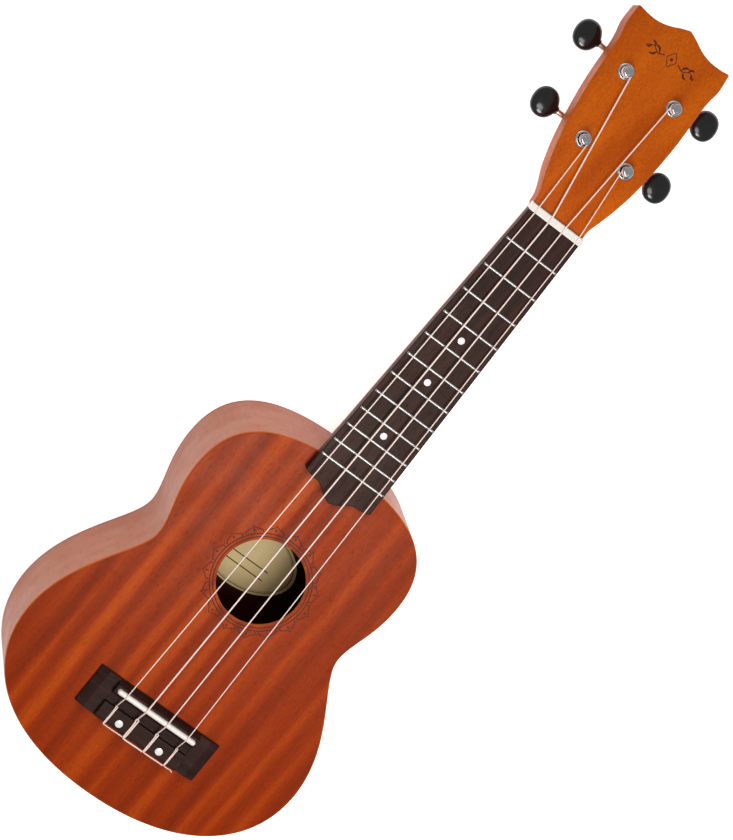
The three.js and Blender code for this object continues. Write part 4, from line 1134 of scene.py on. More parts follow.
class UKULELE_OT_rosette(bpy.types.Operator):
    """Builds the burned rings and petals round the sound hole"""

    bl_idname = "ukulele.rosette"
    bl_label = "Rosette"

    def execute(self, context):
        sizes = context.scene.ukulele_body
        low, high = TOP_Z - 0.02 * MM, TOP_Z + 0.03 * MM
        width = sizes.line_width
        made = Solid()
        for radius in (sizes.ring_inner, sizes.ring_outer):
            inner, outer = radius - width / 2, radius + width / 2
            made.add(lathe([(inner, low), (outer, low), (outer, high), (inner, high)], 192))
        start, tip = sizes.ring_outer + width, sizes.petal_tip
        step = math.tau / sizes.petals
        for k in range(sizes.petals):
            turn = Matrix.Rotation(k * step, 4, "Z")
            made.add(self.petal(start, tip, step, width, low, high).moved(turn))
        rosette = make("rosette", made.moved(Matrix.Translation((HOLE_X, HOLE_Y, 0))))
        dress(rosette, finish("burned line"), "body_wood")
        return {"FINISHED"}

    def petal(self, start, tip, step, width, low, high):
        """A pointed arch with a bud inside it, and a dot beside it."""
        made = Solid()
        for side in (-1, 1):
            rise = tip - start
            polar = [(start, side * step * 0.42), (start + rise * 0.3, side * step * 0.40),
                     (start + rise * 0.55, side * step * 0.2),
                     (start + rise * 0.75, side * step * 0.06), (tip, 0)]
            points = [(r * math.cos(a), r * math.sin(a)) for r, a in polar]
            path = through(points, 0.4 * MM)
            thin = [width * (1.15 - 0.5 * i / len(path)) for i in range(len(path))]
            made.add(strip(path, thin, low, high))
        middle = start + (tip - start) * 0.36
        bud = [(middle + 1.5 * MM, 0), (middle, 0.6 * MM), (middle - 1.0 * MM, 0),
               (middle, -0.6 * MM)]
        made.add(slab(filleted(bud, 0.25 * MM, 3), low, high))
        dot = circle(0.34 * MM, 12, (start + 1.6 * MM) * math.cos(step / 2),
                     (start + 1.6 * MM) * math.sin(step / 2))
        return made.add(slab(dot, low, high))


class UKULELE_OT_neck(bpy.types.Operator):
    """Carves the neck with its heel and headstock, and burns the headstock's ornament"""

    bl_idname = "ukulele.neck"
    bl_label = "Neck"

    def execute(self, context):
        sizes = context.scene.ukulele_neck
        rough = Solid()
        for solid in (self.shaft(sizes), self.heel(sizes), self.head(sizes)):
            rough.add(solid)
        neck = make("carved_neck", rough)
        carve = neck.modifiers.new("carve", "REMESH")
        carve.mode = "VOXEL"
        carve.voxel_size = sizes.grid
        evaluated(neck)
        self.relax(neck.data, sizes)
        self.fit(neck, sizes)
        dress(neck, finish("neck wood"), "neck_wood", stands_for=["neck"], grain=keep_grain,
              sharp=50)
        self.ornament()
        return {"FINISHED"}

    def section(self, y, half, depth, shoulder, rise, steps=40):
        """The shaft's rounded section; it stands rise above the seat, to be cut off later."""
        points = [(half, y, TOP_Z + rise)]
        for i in range(steps + 1):
            turn = i * math.pi / steps
            drop = shoulder + (depth - shoulder) * math.sin(turn)
            points.append((half * math.cos(turn), y, TOP_Z - drop))
        return points + [(-half, y, TOP_Z + rise)]

    def shaft(self, sizes):
        made = Solid()
        start, end = BODY_TOP - 5 * MM, HEAD_Y + sizes.head_thickness * 0.8
        rings = []
        for i in range(121):
            y = start + (end - start) * i / 120
            share = (NUT_Y - y) / (NUT_Y - BODY_TOP)
            depth = sizes.depth_nut + (sizes.depth_heel - sizes.depth_nut) * share
            half = board_half(min(y, NUT_Y)) - sizes.set_in
            past = y - HEAD_Y
            rise = 2.5 * MM if past < 0.6 * MM else -sizes.shoulder * 0.9 - past * 0.3
            shoulder = max(sizes.shoulder, 0.3 * MM - rise)
            rings.append(made.ring(self.section(y, half, depth, shoulder, rise)))
        made.skin(rings, capped=True)
        return made

    def heel(self, sizes):
        made = Solid()
        rings = []
        levels = 32
        for i in range(levels + 1):
            z = TOP_Z * i / levels
            share = i / levels
            half = sizes.heel_half + (sizes.heel_top_half - sizes.heel_half) * share
            reach = sizes.heel_reach + sizes.heel_sweep * share**4
            points = []
            for k in range(33):
                turn = k * math.pi / 32
                points.append((half * math.cos(turn), BODY_TOP + reach * math.sin(turn) ** 0.8, z))
            points += [(-half, BODY_TOP - 8 * MM, z), (half, BODY_TOP - 8 * MM, z)]
            rings.append(made.ring(points))
        made.skin(rings, capped=True)
        return made

    def head(self, sizes):
        loop = head_loop()
        return slab(loop, -sizes.head_thickness, 0, 0, 0, 1).moved(head_matrix())

    def relax(self, mesh, sizes):
        """Evens the carved surface, most at the heel and behind the nut."""
        count = len(mesh.vertices)
        places = np.empty(count * 3)
        mesh.vertices.foreach_get("co", places)
        places = places.reshape(-1, 3)
        links = np.empty(len(mesh.edges) * 2, np.int64)
        mesh.edges.foreach_get("vertices", links)
        a, b = links.reshape(-1, 2).T
        degree = np.bincount(np.concatenate((a, b)), minlength=count)[:, None]
        y, z = places[:, 1], places[:, 2]
        heel = np.exp(-(((y - BODY_TOP - 30 * MM) / (16 * MM)) ** 2)) * (z < TOP_Z - 4 * MM)
        root = np.exp(-(((y - HEAD_Y - 6 * MM) / (9 * MM)) ** 2)) * (z < TOP_Z - 6 * MM)
        blend = np.clip(heel + root, 0, 1)[:, None]
        for i in range(60):
            mean = np.zeros_like(places)
            for k in range(3):
                mean[:, k] = (np.bincount(a, places[b, k], count)
                              + np.bincount(b, places[a, k], count))
            share = blend * 0.6 if i >= 6 else 0.5
            places += (mean / degree - places) * share
        mesh.vertices.foreach_set("co", self.true_up(places, sizes).ravel())
        mesh.update()

    def true_up(self, places, sizes):
        """Moves the carved headstock's surface onto its exact outline, faces and round edges."""
        turn = np.array(head_matrix())
        local = (places - turn[:3, 3]) @ turn[:3, :3]
        loop = np.array(head_loop())
        step = np.roll(loop, -1, axis=0) - loop
        thick, soft = sizes.head_thickness, sizes.head_round
        face = (np.abs(local[:, 2]) < 0.35 * MM) & (local[:, 1] > 1.5 * MM)
        local[face, 2] = 0.0
        chosen = np.flatnonzero(local[:, 1] > 5 * MM)
        for part in np.array_split(chosen, 1 + len(chosen) // 3000):
            flat = local[part, :2]
            gap = flat[:, None] - loop[None]
            share = np.clip((gap * step).sum(2) / (step * step).sum(1), 0, 1)
            gap = gap - share[..., None] * step[None]
            best = (gap**2).sum(2).argmin(1)
            gap = gap[np.arange(len(part)), best]
            nearest = flat - gap
            along = step[best]
            away = np.linalg.norm(gap, axis=1)
            within = np.where(along[:, 0] * gap[:, 1] - along[:, 1] * gap[:, 0] > 0, 1.0, -1.0)
            inward = gap * (within / np.maximum(away, 1e-9))[:, None]
            depth_in = away * within
            front = local[part, 2] > -thick / 2
            below = np.where(front, -local[part, 2], local[part, 2] + thick)
            v, w = depth_in - soft, below - soft
            size = np.maximum(np.hypot(v, w), 1e-9)
            corner = (v < 0) & (w < 0) & (np.abs(size - soft) < MM)
            wall = (v < 0) & (w >= 0) & (np.abs(depth_in) < MM)
            flat_face = (v >= 0) & (w < 0) & (np.abs(below) < 0.8 * MM)
            new_in = np.where(corner, soft + v * soft / size, np.where(wall, 0.0, depth_in))
            new_below = np.where(corner, soft + w * soft / size,
                                 np.where(flat_face, 0.0, below))
            t = np.clip((local[part, 1] - 6 * MM) / (16 * MM), 0, 1)
            weight = t * t * (3 - 2 * t)
            moved = nearest + inward * new_in[:, None]
            local[part, :2] += (moved - flat) * weight[:, None]
            height = np.where(front, -new_below, new_below - thick)
            local[part, 2] += (height - local[part, 2]) * weight
        return local @ turn[:3, :3].T + turn[:3, 3]

    def fit(self, neck, sizes):
        """Cuts the neck to its seat, to the body's end and for the four ferrules."""
        clearance = 0.15 * MM
        reach = 60 * MM
        seat = slab([(-reach, BODY_TOP - reach), (reach, BODY_TOP - reach),
                     (reach, HEAD_Y + clearance), (-reach, HEAD_Y + clearance)],
                    TOP_Z, TOP_Z + 20 * MM)
        combine(neck, seat)
        body = slab(offset(body_loop(), -clearance), -5 * MM, TOP_Z + 5 * MM)
        combine(neck, body)
        tuners = bpy.context.scene.ukulele_tuners
        bore = cylinder(tuners.sleeve_radius, -sizes.head_thickness - 5 * MM, 5 * MM)
        bores = Solid()
        for tuner in TUNERS:
            bores.add(bore.moved(tuner_matrix(tuner)))
        combine(neck, bores)

    def ornament(self):
        """Two leafy sprays beside a lozenge, a plain decoration near the tip."""
        low, high = -0.02 * MM, 0.03 * MM
        middle = 106 * MM
        made = Solid()
        lozenge = [(3.2 * MM, middle), (0, middle + 4.6 * MM), (-3.2 * MM, middle),
                   (0, middle - 4.6 * MM)]
        path = through(filleted(lozenge, 0.6 * MM, 3), 0.5 * MM, closed=True)
        made.add(strip(path, [0.42 * MM] * len(path), low, high))
        made.add(slab(circle(0.9 * MM, 20, 0, middle), low, high))
        for side in (-1, 1):
            stem = [(side * 4.6 * MM, middle), (side * 8.5 * MM, middle - 1.6 * MM),
                    (side * 12.5 * MM, middle + 0.4 * MM), (side * 16.5 * MM, middle - 1.2 * MM)]
            path = through(stem, 0.5 * MM)
            widths = [0.62 * MM * (1 - 0.6 * i / len(path)) for i in range(len(path))]
            made.add(strip(path, widths, low, high))
            for k, (share, lean) in enumerate([(0.25, 1), (0.42, -1), (0.6, 1), (0.78, -1)]):
                root = path[int(share * len(path))]
                size = (4.2 - 0.55 * k) * MM
                leaf = [root, root + Vector((side * size * 0.35, lean * size * 0.62)),
                        root + Vector((side * size, lean * size * 0.78))]
                blade = through(leaf, 0.4 * MM)
                swell = [0.25 * MM + 0.95 * MM * math.sin(math.pi * i / (len(blade) - 1))
                         for i in range(len(blade))]
                made.add(strip(blade, swell, low, high))
        spray = make("headstock_ornament", made.moved(head_matrix()))
        dress(spray, finish("burned line"), "neck_wood")


class UKULELE_OT_fretboard(bpy.types.Operator):
    """Builds the fretboard with its frets and markers"""

    bl_idname = "ukulele.fretboard"
    bl_label = "Fretboard"

    def execute(self, context):
        sizes = context.scene.ukulele_neck
        middle = Vector((0, (FRETBOARD_LOW.y + FRETBOARD_HIGH.y) / 2))
        corners = outline("fretboard", middle)
        loop = through(corners, 1.0 * MM, closed=True, corner=math.radians(40))
        board = slab(loop, FRETBOARD_LOW.z, FRETBOARD_HIGH.z, sizes.board_round, 0.05 * MM, 4)
        dress(make("playing_board", board), finish("fretboard wood"), "fretboard_wood",
              stands_for=["fretboard"], grain=keep_grain)
        for name in sorted(frame["nodes"]):
            if name.startswith("fret_dot"):
                self.marker(name, sizes.marker_radius)
            elif name.startswith("fret_"):
                self.fret(name, sizes)
        return {"FINISHED"}

    def fret(self, name, sizes):
        low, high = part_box(name)
        y = (low.y + high.y) / 2
        half = board_half(y) - sizes.fret_inset
        crown = high.z - FRETBOARD_HIGH.z
        sunk = 0.25 * MM
        taper = 1.0 * MM
        stations = [-half + taper * (1 - math.cos(k * math.pi / 12)) for k in range(7)]
        stations += [-x for x in reversed(stations)]
        made = Solid()
        rings = []
        for x in stations:
            inside = min(1.0, (half - abs(x)) / taper)
            scale = max(0.12, math.sqrt(1 - (1 - inside) ** 2))
            edge = sizes.fret_width / 2 * (0.55 + 0.45 * scale)
            arch = [k * math.pi / 10 for k in range(11)]
            points = [(x, y + edge * math.cos(a),
                       FRETBOARD_HIGH.z + crown * math.sin(a) ** 0.85 * scale) for a in arch]
            points += [(x, y - edge, FRETBOARD_HIGH.z - sunk),
                       (x, y + edge, FRETBOARD_HIGH.z - sunk)]
            rings.append(made.ring(points))
        made.skin(rings, capped=True)
        dress(make(name + "_wire", made), finish("fret wire"), "fret_wire", stands_for=[name])

    def marker(self, name, radius):
        low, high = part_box(name)
        centre = (low + high) / 2
        profile = [(0, low.z), (radius, low.z), (radius, high.z),
                   (radius * 0.93, high.z + 0.05 * MM),
                   (radius * 0.5, high.z + 0.1 * MM), (0, high.z + 0.12 * MM)]
        dot = lathe(profile, 40).moved(Matrix.Translation((centre.x, centre.y, 0)))
        dress(make(name + "_pearl", dot), finish("pearl"), "marker_pearl", stands_for=[name])


class UKULELE_OT_nut_and_saddle(bpy.types.Operator):
    """Builds the slotted nut and the round-topped saddle"""

    bl_idname = "ukulele.nut_and_saddle"
    bl_label = "Nut and saddle"

    def execute(self, context):
        self.nut(context.scene.ukulele_strings)
        self.saddle()
        return {"FINISHED"}

    def nut(self, strings):
        fall = 1.1 * MM  # the nut's top slopes down towards the headstock
        past = 2 * MM
        section = [(NUT_LOW.y, NUT_LOW.z), (NUT_HIGH.y, NUT_LOW.z), (NUT_HIGH.y, NUT_HIGH.z - fall),
                   (NUT_LOW.y, NUT_HIGH.z)]
        loop = filleted(section, 0.75 * MM, 6)
        half = (NUT_HIGH.x - NUT_LOW.x) / 2
        slots = Solid()
        for i, radius in enumerate(strings.radii):
            x = (i - 1.5) * strings.nut_spacing
            floor = NUT_HIGH.z - strings.nut_slot + radius * 1.1
            groove = radius * 1.15
            mouth = groove * 1.25
            slots.add(tube([Vector((x, NUT_LOW.y - past, floor)),
                            Vector((x, NUT_HIGH.y + past, floor))], groove, 20))
            flare = [(x - groove, floor), (x + groove, floor), (x + mouth, NUT_HIGH.z + MM),
                     (x - mouth, NUT_HIGH.z + MM)]
            slots.add(slab(flare, -NUT_HIGH.y - past, -NUT_LOW.y + past).moved(STANDING))
        nut = make("nut_bar", across_x(loop, half, 0.35 * MM))
        combine(nut, slots, crossing=True)
        dress(nut, finish("bone"), "nut_bone", stands_for=["nut"])

    def saddle(self):
        half_x = (SADDLE_HIGH.x - SADDLE_LOW.x) / 2
        half_y = (SADDLE_HIGH.y - SADDLE_LOW.y) / 2
        ends = []
        for side in (1, -1):
            for k in range(17):
                turn = (k / 16 - 0.5) * math.pi + (0 if side > 0 else math.pi)
                x = side * (half_x - half_y) + half_y * math.cos(turn)
                ends.append((x, SADDLE_Y + half_y * math.sin(turn)))
        bar = slab(ends, SADDLE_LOW.z, SADDLE_HIGH.z, half_y * 0.92, 0.05 * MM, 7)
        dress(make("saddle_bar", bar), finish("bone"), "nut_bone", stands_for=["saddle"])


class UKULELE_OT_bridge(bpy.types.Operator):
    """Builds the bridge with its wings, channel, tie block and dots"""

    bl_idname = "ukulele.bridge"
    bl_label = "Bridge"

    def execute(self, context):
        sizes = context.scene.ukulele_body
        strings = context.scene.ukulele_strings
        front, rear = BRIDGE_HIGH.y, BRIDGE_LOW.y
        full = BRIDGE_HIGH.z - TOP_Z
        channel_front = SADDLE_LOW.y - sizes.saddle_lip
        channel_rear = channel_front - sizes.channel_width
        floor, tie, edge = sizes.channel_floor, sizes.tie_height, sizes.bridge_bevel
        profile = [(rear, 0), (front, 0), (front, edge), (front - edge, full),
                   (channel_front, full), (channel_front - 1.6 * MM, floor), (channel_rear, floor),
                   (channel_rear, tie), (rear + 1.4 * MM, tie), (rear, tie - 1.4 * MM)]
        section = [Vector((y, TOP_Z + z)) for y, z in profile]
        loop = filleted(section, 0.5 * MM, 3)
        bridge = make("tie_bridge", across_x(loop, sizes.block_half, 0.25 * MM))
        half, start = BRIDGE_HIGH.x, sizes.block_half - 0.5 * MM
        bevel = sizes.wing_bevel
        for side in (-1, 1):
            wing = [(start, 0), (half, 0), (half, edge), (half - bevel, sizes.wing_height),
                    (start, sizes.wing_height)]
            wing = [Vector((side * x, TOP_Z + z)) for x, z in wing][::side]
            block = slab(filleted(wing, 0.5 * MM, 3), -front, -rear, 0.25 * MM, 0.25 * MM, 3)
            combine(bridge, block.moved(STANDING), "UNION")
        slot_half = SADDLE_HIGH.x + 0.1 * MM
        slot_front, slot_rear = SADDLE_HIGH.y + 0.06 * MM, SADDLE_LOW.y - 0.06 * MM
        slot = slab([(-slot_half, slot_rear), (slot_half, slot_rear),
                     (slot_half, slot_front), (-slot_half, slot_front)],
                    SADDLE_LOW.z, TOP_Z + full + 2 * MM)
        combine(bridge, slot)
        holes = Solid()
        for i in range(len(STRING_NAMES)):
            x = (i - 1.5) * strings.saddle_spacing
            bore = cylinder(0.95 * MM, -channel_front + 3 * MM, -rear + 3 * MM, 24)
            holes.add(bore.moved(Matrix.Translation((x, 0, TOP_Z + sizes.string_hole)) @ STANDING))
        combine(bridge, holes)
        dress(bridge, finish("bridge wood"), "bridge_wood", stands_for=["bridge"], grain=crosswise)
        radius = sizes.dot_radius
        top = TOP_Z + tie
        for side in (-1, 1):
            profile = [(0, top - 0.6 * MM), (radius, top - 0.6 * MM), (radius, top),
                       (radius * 0.9, top + 0.1 * MM), (radius * 0.5, top + 0.2 * MM),
                       (0, top + 0.24 * MM)]
            place = Matrix.Translation((side * sizes.dot_place, rear + 4.4 * MM, 0))
            dot = make("bridge_dot_" + ("treble" if side > 0 else "bass"),
                       lathe(profile, 40).moved(place))
            dress(dot, finish("pearl"), "marker_pearl")
        return {"FINISHED"}


class UKULELE_OT_strings(bpy.types.Operator):
    """Builds the strings with their knots, and the windings on the posts"""

    bl_idname = "ukulele.strings"
    bl_label = "Strings"

    def execute(self, context):
        sizes, tuners = context.scene.ukulele_strings, context.scene.ukulele_tuners
        for i, name in enumerate(STRING_NAMES):
            self.string(i, name, sizes, tuners, context.scene.ukulele_body)
            self.winding(i, name, sizes, tuners)
        return {"FINISHED"}

    def string(self, i, name, sizes, tuners, bridge):
        """A line from its post over nut and saddle, through the tie block and round itself."""
        r = sizes.radii[i]
        tuner = STRING_POSTS[i]
        face = tuner_matrix(tuner)
        post = face @ Vector((-(tuners.post_waist + r), 0, tuners.post_height / 2 + 0.1 * MM))
        nut_x, x = (i - 1.5) * sizes.nut_spacing, (i - 1.5) * sizes.saddle_spacing
        nut_z = NUT_HIGH.z - sizes.nut_slot + r * 1.1
        saddle_z = SADDLE_HIGH.z + r
        rear = BRIDGE_LOW.y
        channel_rear = SADDLE_LOW.y - bridge.saddle_lip - bridge.channel_width
        hole, tie = TOP_Z + bridge.string_hole, TOP_Z + bridge.tie_height + r
        slope = (post - Vector((nut_x, NUT_HIGH.y, nut_z))).normalized()
        leave = Vector((nut_x, NUT_HIGH.y - 0.4 * MM, nut_z))
        free = [post, leave + slope * 9 * MM, leave + slope * 1.5 * MM, leave,
                Vector((nut_x, NUT_LOW.y + 0.8 * MM, nut_z)), Vector((nut_x, NUT_LOW.y, nut_z)),
                Vector((nut_x + (x - nut_x) * 0.04, NUT_LOW.y - 13 * MM, nut_z + 0.15 * MM)),
                Vector((nut_x + (x - nut_x) * 0.98, SADDLE_Y + 7 * MM, saddle_z - 0.05 * MM)),
                Vector((x, SADDLE_Y + 0.5 * MM, saddle_z)),
                Vector((x, SADDLE_Y - 0.5 * MM, saddle_z - 0.1 * MM))]
        knot_y = channel_rear + r * 1.6
        tied = [Vector((x, SADDLE_Y - 2.2 * MM, saddle_z - 1.3 * MM)),
                Vector((x, channel_rear + 2.6 * MM, hole + 1.6 * MM)),
                Vector((x, channel_rear, hole)),
                Vector((x, (rear + channel_rear) / 2, hole)),
                Vector((x, rear - r * 0.4, hole)),
                Vector((x + r * 0.2, rear - r * 1.6, hole + 0.8 * MM)),
                Vector((x + r * 0.5, rear - r * 0.8, tie - 0.7 * MM)),
                Vector((x + r * 0.9, rear + 1.4 * MM, tie)),
                Vector((x + r * 1.1, (rear + channel_rear) / 2, tie + r * 0.25)),
                Vector((x + r * 1.2, channel_rear + r * 0.6, tie + r * 0.6)),
                Vector((x + r * 1.6, knot_y + r * 1.2, tie - r * 0.2)),
                Vector((x + r * 0.4, knot_y + r * 1.9, tie - r * 1.9)),
                Vector((x - r * 1.7, knot_y + r * 1.4, tie - r * 0.9)),
                Vector((x - r * 1.5, channel_rear + r * 0.4, tie + r * 0.9)),
                Vector((x - r * 0.9, (rear + channel_rear) / 2 + 1.6 * MM, tie + r * 0.3)),
                Vector((x - r * 1.1, rear + 2.2 * MM, tie + r * 0.1)),
                Vector((x - r * 0.3, rear - r * 1.2, tie + r * 0.1 - 0.4 * MM))]
        last = i == len(STRING_NAMES) - 1
        reach = (6.2 if last else 13.4) * MM  # the others reach under the next string's knot
        tail = [Vector((x + reach * 0.10, rear - r * 2.6, tie - 1.3 * MM)),
                Vector((x + reach * 0.45, rear - r * 2.2 - 0.35 * MM, tie - 1.9 * MM)),
                Vector((x + reach * 0.8, rear - r * 2.3 - 0.1 * MM, tie - 1.5 * MM)),
                Vector((x + reach, rear - r * 2.4 - (0.5 * MM if last else 0), tie - 1.2 * MM))]
        knotted = through([free[-1]] + tied + tail, 0.35 * MM)
        path = through(free, 6 * MM)[:-1] + knotted
        dress(make(name + "_line", tube(path, r, 14)), finish("string"), "string_fluorocarbon",
              stands_for=[name], sharp=60)

    def winding(self, i, name, sizes, tuners):
        """A string's turns on its post, and its clipped end."""
        r = sizes.radii[i]
        tuner = STRING_POSTS[i]
        height = tuners.post_height / 2 + 0.1 * MM
        per_turn = 40
        drop = min(2 * r * 1.05, 0.8 * MM)
        coil = []
        for k in range(int(sizes.turns * per_turn) + 1):
            turn = math.pi + k / per_turn * math.tau
            radius = tuners.post_waist + r
            z = height + drop * 0.35 - drop * k / per_turn * 0.85
            coil.append(Vector((radius * math.cos(turn), radius * math.sin(turn), z)))
        made = tube(coil, r, 12)
        end = [Vector((0, -tuners.post_radius - 1.5 * MM, height + 0.7 * MM)),
               Vector((0, -tuners.post_radius - 0.3 * MM, height + 0.25 * MM)),
               Vector((0, 0, height)),
               Vector((0, tuners.post_radius + 0.5 * MM, height + 0.1 * MM))]
        made.add(tube(through(end, 0.5 * MM), r, 12))
        wound = make(name + "_winding", made.moved(tuner_matrix(tuner)))
        dress(wound, finish("string"), "string_fluorocarbon", body="post_turn_" + tuner, sharp=60)


class UKULELE_OT_tuners(bpy.types.Operator):
    """Builds the four tuners: plate, worm shaft, knob, post, wheel, ferrule and screws"""

    bl_idname = "ukulele.tuners"
    bl_label = "Tuners"

    def execute(self, context):
        sizes = context.scene.ukulele_tuners
        back = -context.scene.ukulele_neck.head_thickness - 0.1 * MM
        screw = self.screw()
        low = back - sizes.plate_thickness
        screws = [Matrix.Translation((0, y, low)) for y in (2 * MM - sizes.plate_below,
                                                            sizes.plate_above - 2 * MM)]
        wheel_face = WORM.z - sizes.gear_thickness / 2
        parts = [
            ("base_plate", self.plate(sizes, back), "chrome", "tuner_chrome", None, "tuner_plate"),
            ("worm", self.worm(sizes), "steel", "tuner_steel", "knob_turn", "worm_shaft"),
            ("button", self.knob(sizes), "knob", "knob_plastic", "knob_turn", "knob"),
            ("string_post", self.post(sizes), "chrome", "tuner_chrome", "post_turn", "post"),
            ("wheel", self.wheel(sizes), "steel", "tuner_steel", "post_turn", None),
            ("wheel_screw", screw.moved(Matrix.Translation((0, 0, wheel_face - 0.6 * MM))),
             "steel", "tuner_steel", "post_turn", None),
            ("ring", self.ferrule(sizes), "chrome", "tuner_chrome", None, "ferrule"),
        ]
        for k, place in enumerate(screws):
            parts.append((f"plate_screw_{k + 1}", screw.moved(place), "steel", "tuner_steel", None,
                          None))
        for tuner in TUNERS:
            matrix = tuner_matrix(tuner)
            for name, solid, surface, slot, body, node in parts:
                piece = make(f"{name}_{tuner}", solid.moved(matrix))
                dress(piece, finish(surface), slot, body=f"{body}_{tuner}" if body else ROOT,
                      stands_for=[f"{node}_{tuner}"] if node else ())
        return {"FINISHED"}

    def worm_half(self, sizes):
        """Half the length of the worm's thread."""
        return sizes.worm_turns * math.pi * sizes.module / 2

    def plate(self, sizes, back):
        half = sizes.plate_across / 2
        low = back - sizes.plate_thickness
        y = WORM.y
        corners = [(-half, -3.6 * MM), (-3.2 * MM, -sizes.plate_below),
                   (3.2 * MM, -sizes.plate_below), (half, -3.6 * MM),
                   (half, sizes.plate_above - 4 * MM), (3.2 * MM, sizes.plate_above),
                   (-3.2 * MM, sizes.plate_above), (-half, sizes.plate_above - 4 * MM)]
        rounded = filleted(corners, 1.6 * MM, 6)
        plate = make("plate", slab(rounded, low, back, 0.1 * MM, 0.3 * MM, 3))
        start = self.worm_half(sizes) + sizes.lug_gap
        drop = 2.9 * MM  # radius of a lug's rounded end
        arc = [k * math.pi / 20 for k in range(21)]
        cheek = [(y + drop * math.cos(a), WORM.z - drop * math.sin(a)) for a in arc]
        cheek += [(y - drop, low + 0.4 * MM), (y + drop, low + 0.4 * MM)]
        cheek = filleted(cheek[::-1], 0.05 * MM, 1)
        thick = sizes.lug_thickness
        for side in (-1, 1):
            lug = across_x(cheek[::-1], thick / 2, 0.25 * MM)
            shift = Matrix.Translation((side * (start + thick / 2), 0, 0))
            combine(plate, lug.moved(shift), "UNION")
        bore = about_x(cylinder(sizes.shaft_radius + 0.12 * MM, -half - MM, half + MM, 32))
        combine(plate, bore.moved(Matrix.Translation((0, y, WORM.z))))
        shank = cylinder(sizes.shank_radius + 0.3 * MM, low - MM, back + MM, 32)
        combine(plate, shank)
        return as_solid(plate)

    def worm(self, sizes):
        """The shaft with its thread as one surface: the radius swells where the thread runs."""
        half = self.worm_half(sizes)
        lead = math.pi * sizes.module
        thread = WORM.y - sizes.teeth * sizes.module / 2 - sizes.worm_core + 0.42 * MM
        shaft = sizes.shaft_radius
        lug = sizes.lug_gap + sizes.lug_thickness
        collar = half + lug + 0.35 * MM
        end = sizes.knob_offset - sizes.knob_half_width + 3.8 * MM
        plain = [(-half - lug - 0.5 * MM, shaft * 0.9), (-half - lug - 0.3 * MM, shaft),
                 (-half - 0.1 * MM, shaft)]
        after = [(half + 0.1 * MM, shaft), (collar, shaft), (collar + 0.02 * MM, 2.3 * MM),
                 (collar + 0.2 * MM, 2.5 * MM), (collar + 1.0 * MM, 2.5 * MM),
                 (collar + 1.18 * MM, 2.3 * MM), (collar + 1.2 * MM, shaft), (end, shaft)]
        steps, around = 90, 40
        stations = [(x, radius, False) for x, radius in plain]
        stations += [(-half + 2 * half * k / steps, 0.0, True) for k in range(steps + 1)]
        stations += [(x, radius, False) for x, radius in after]
        made = Solid()
        rings = [made.ring([(stations[0][0], 0, 0)])]
        for x, radius, threaded in stations:
            points = []
            for k in range(around):
                turn = k * math.tau / around
                if threaded:
                    fade = min(1.0, (half - abs(x)) / (0.35 * lead))
                    wave = math.cos(math.tau * (x / lead) - turn + math.pi)
                    lift = max(0.0, (wave + 0.25) / 1.25) ** 0.8
                    radius = sizes.worm_core + thread * lift * fade
                points.append((x, radius * math.cos(turn), radius * math.sin(turn)))
            rings.append(made.ring(points))
        rings.append(made.ring([(stations[-1][0], 0, 0)]))
        made.skin(rings)
        return made.moved(Matrix.Translation((0, WORM.y, WORM.z)))

    def knob(self, sizes):
        """An oval pillow that grows out of a round collar."""
        made = Solid()
        mouth = sizes.knob_offset - sizes.knob_half_width - 0.7 * MM
        start = sizes.knob_offset - sizes.knob_half_width
        end = sizes.knob_offset + sizes.knob_half_width
        steps, around = 44, 64
        xs = [mouth, mouth + 0.15 * MM]
        xs += [start + (end - start) * (1 - math.cos(k * math.pi / steps)) / 2
               for k in range(1, steps)]
        rings = [made.ring([(mouth, 0, 0)])]
        for i, x in enumerate(xs):
            place = (x - sizes.knob_offset) / sizes.knob_half_width
            swell = max(0.0, 1 - abs(place) ** 2.15) ** (1 / 2.15)
            collar = sizes.knob_collar if x < sizes.knob_offset else 0.0
            collar *= 0.93 if i == 0 else 1.0
            soft = 6
            half_y = ((sizes.knob_half_length * swell) ** soft + collar**soft) ** (1 / soft)
            half_z = ((sizes.knob_half_thickness * swell) ** soft + collar**soft) ** (1 / soft)
            points = []
            for k in range(around):
                turn = k * math.tau / around
                c, s = math.cos(turn), math.sin(turn)
                bulge = (abs(c) ** 2.3 + abs(s) ** 2.3) ** (-1 / 2.3)
                points.append((x, half_y * c * bulge, half_z * s * bulge))
            rings.append(made.ring(points))
        rings.append(made.ring([(end, 0, 0)]))
        made.skin(rings)
        return made.moved(Matrix.Translation((0, WORM.y, WORM.z)))

    def post(self, sizes):
        top, middle = sizes.post_height, sizes.post_height / 2
        foot = WORM.z - sizes.gear_thickness / 2 - 0.5 * MM
        big, waist, shank = sizes.post_radius, sizes.post_waist, sizes.shank_radius
        profile = [(0, foot), (shank * 0.9, foot), (shank, foot + 0.3 * MM),
                   (shank, -sizes.sleeve_length), (big, -sizes.sleeve_length + 0.6 * MM),
                   (big, middle - 1.0 * MM), (waist + 0.15 * MM, middle - 0.7 * MM),
                   (waist, middle - 0.3 * MM), (waist, middle + 0.5 * MM),
                   (waist + 0.15 * MM, middle + 0.9 * MM), (big, middle + 1.35 * MM),
                   (big, top - 0.7 * MM), (big - 0.1 * MM, top - 0.4 * MM),
                   (big - 0.4 * MM, top - 0.12 * MM), (big - 0.8 * MM, top),
                   (big - 1.2 * MM, top - 0.05 * MM), (big - 1.5 * MM, top - 0.3 * MM),
                   (0, top - 0.34 * MM)]
        bore = cylinder(0.78 * MM, -9 * MM, 9 * MM, 24)
        turn = Matrix.Translation((0, 0, middle + 0.1 * MM)) @ Matrix.Rotation(math.pi / 2, 4, "X")
        return cut_solid(lathe(profile, 56), bore.moved(turn))

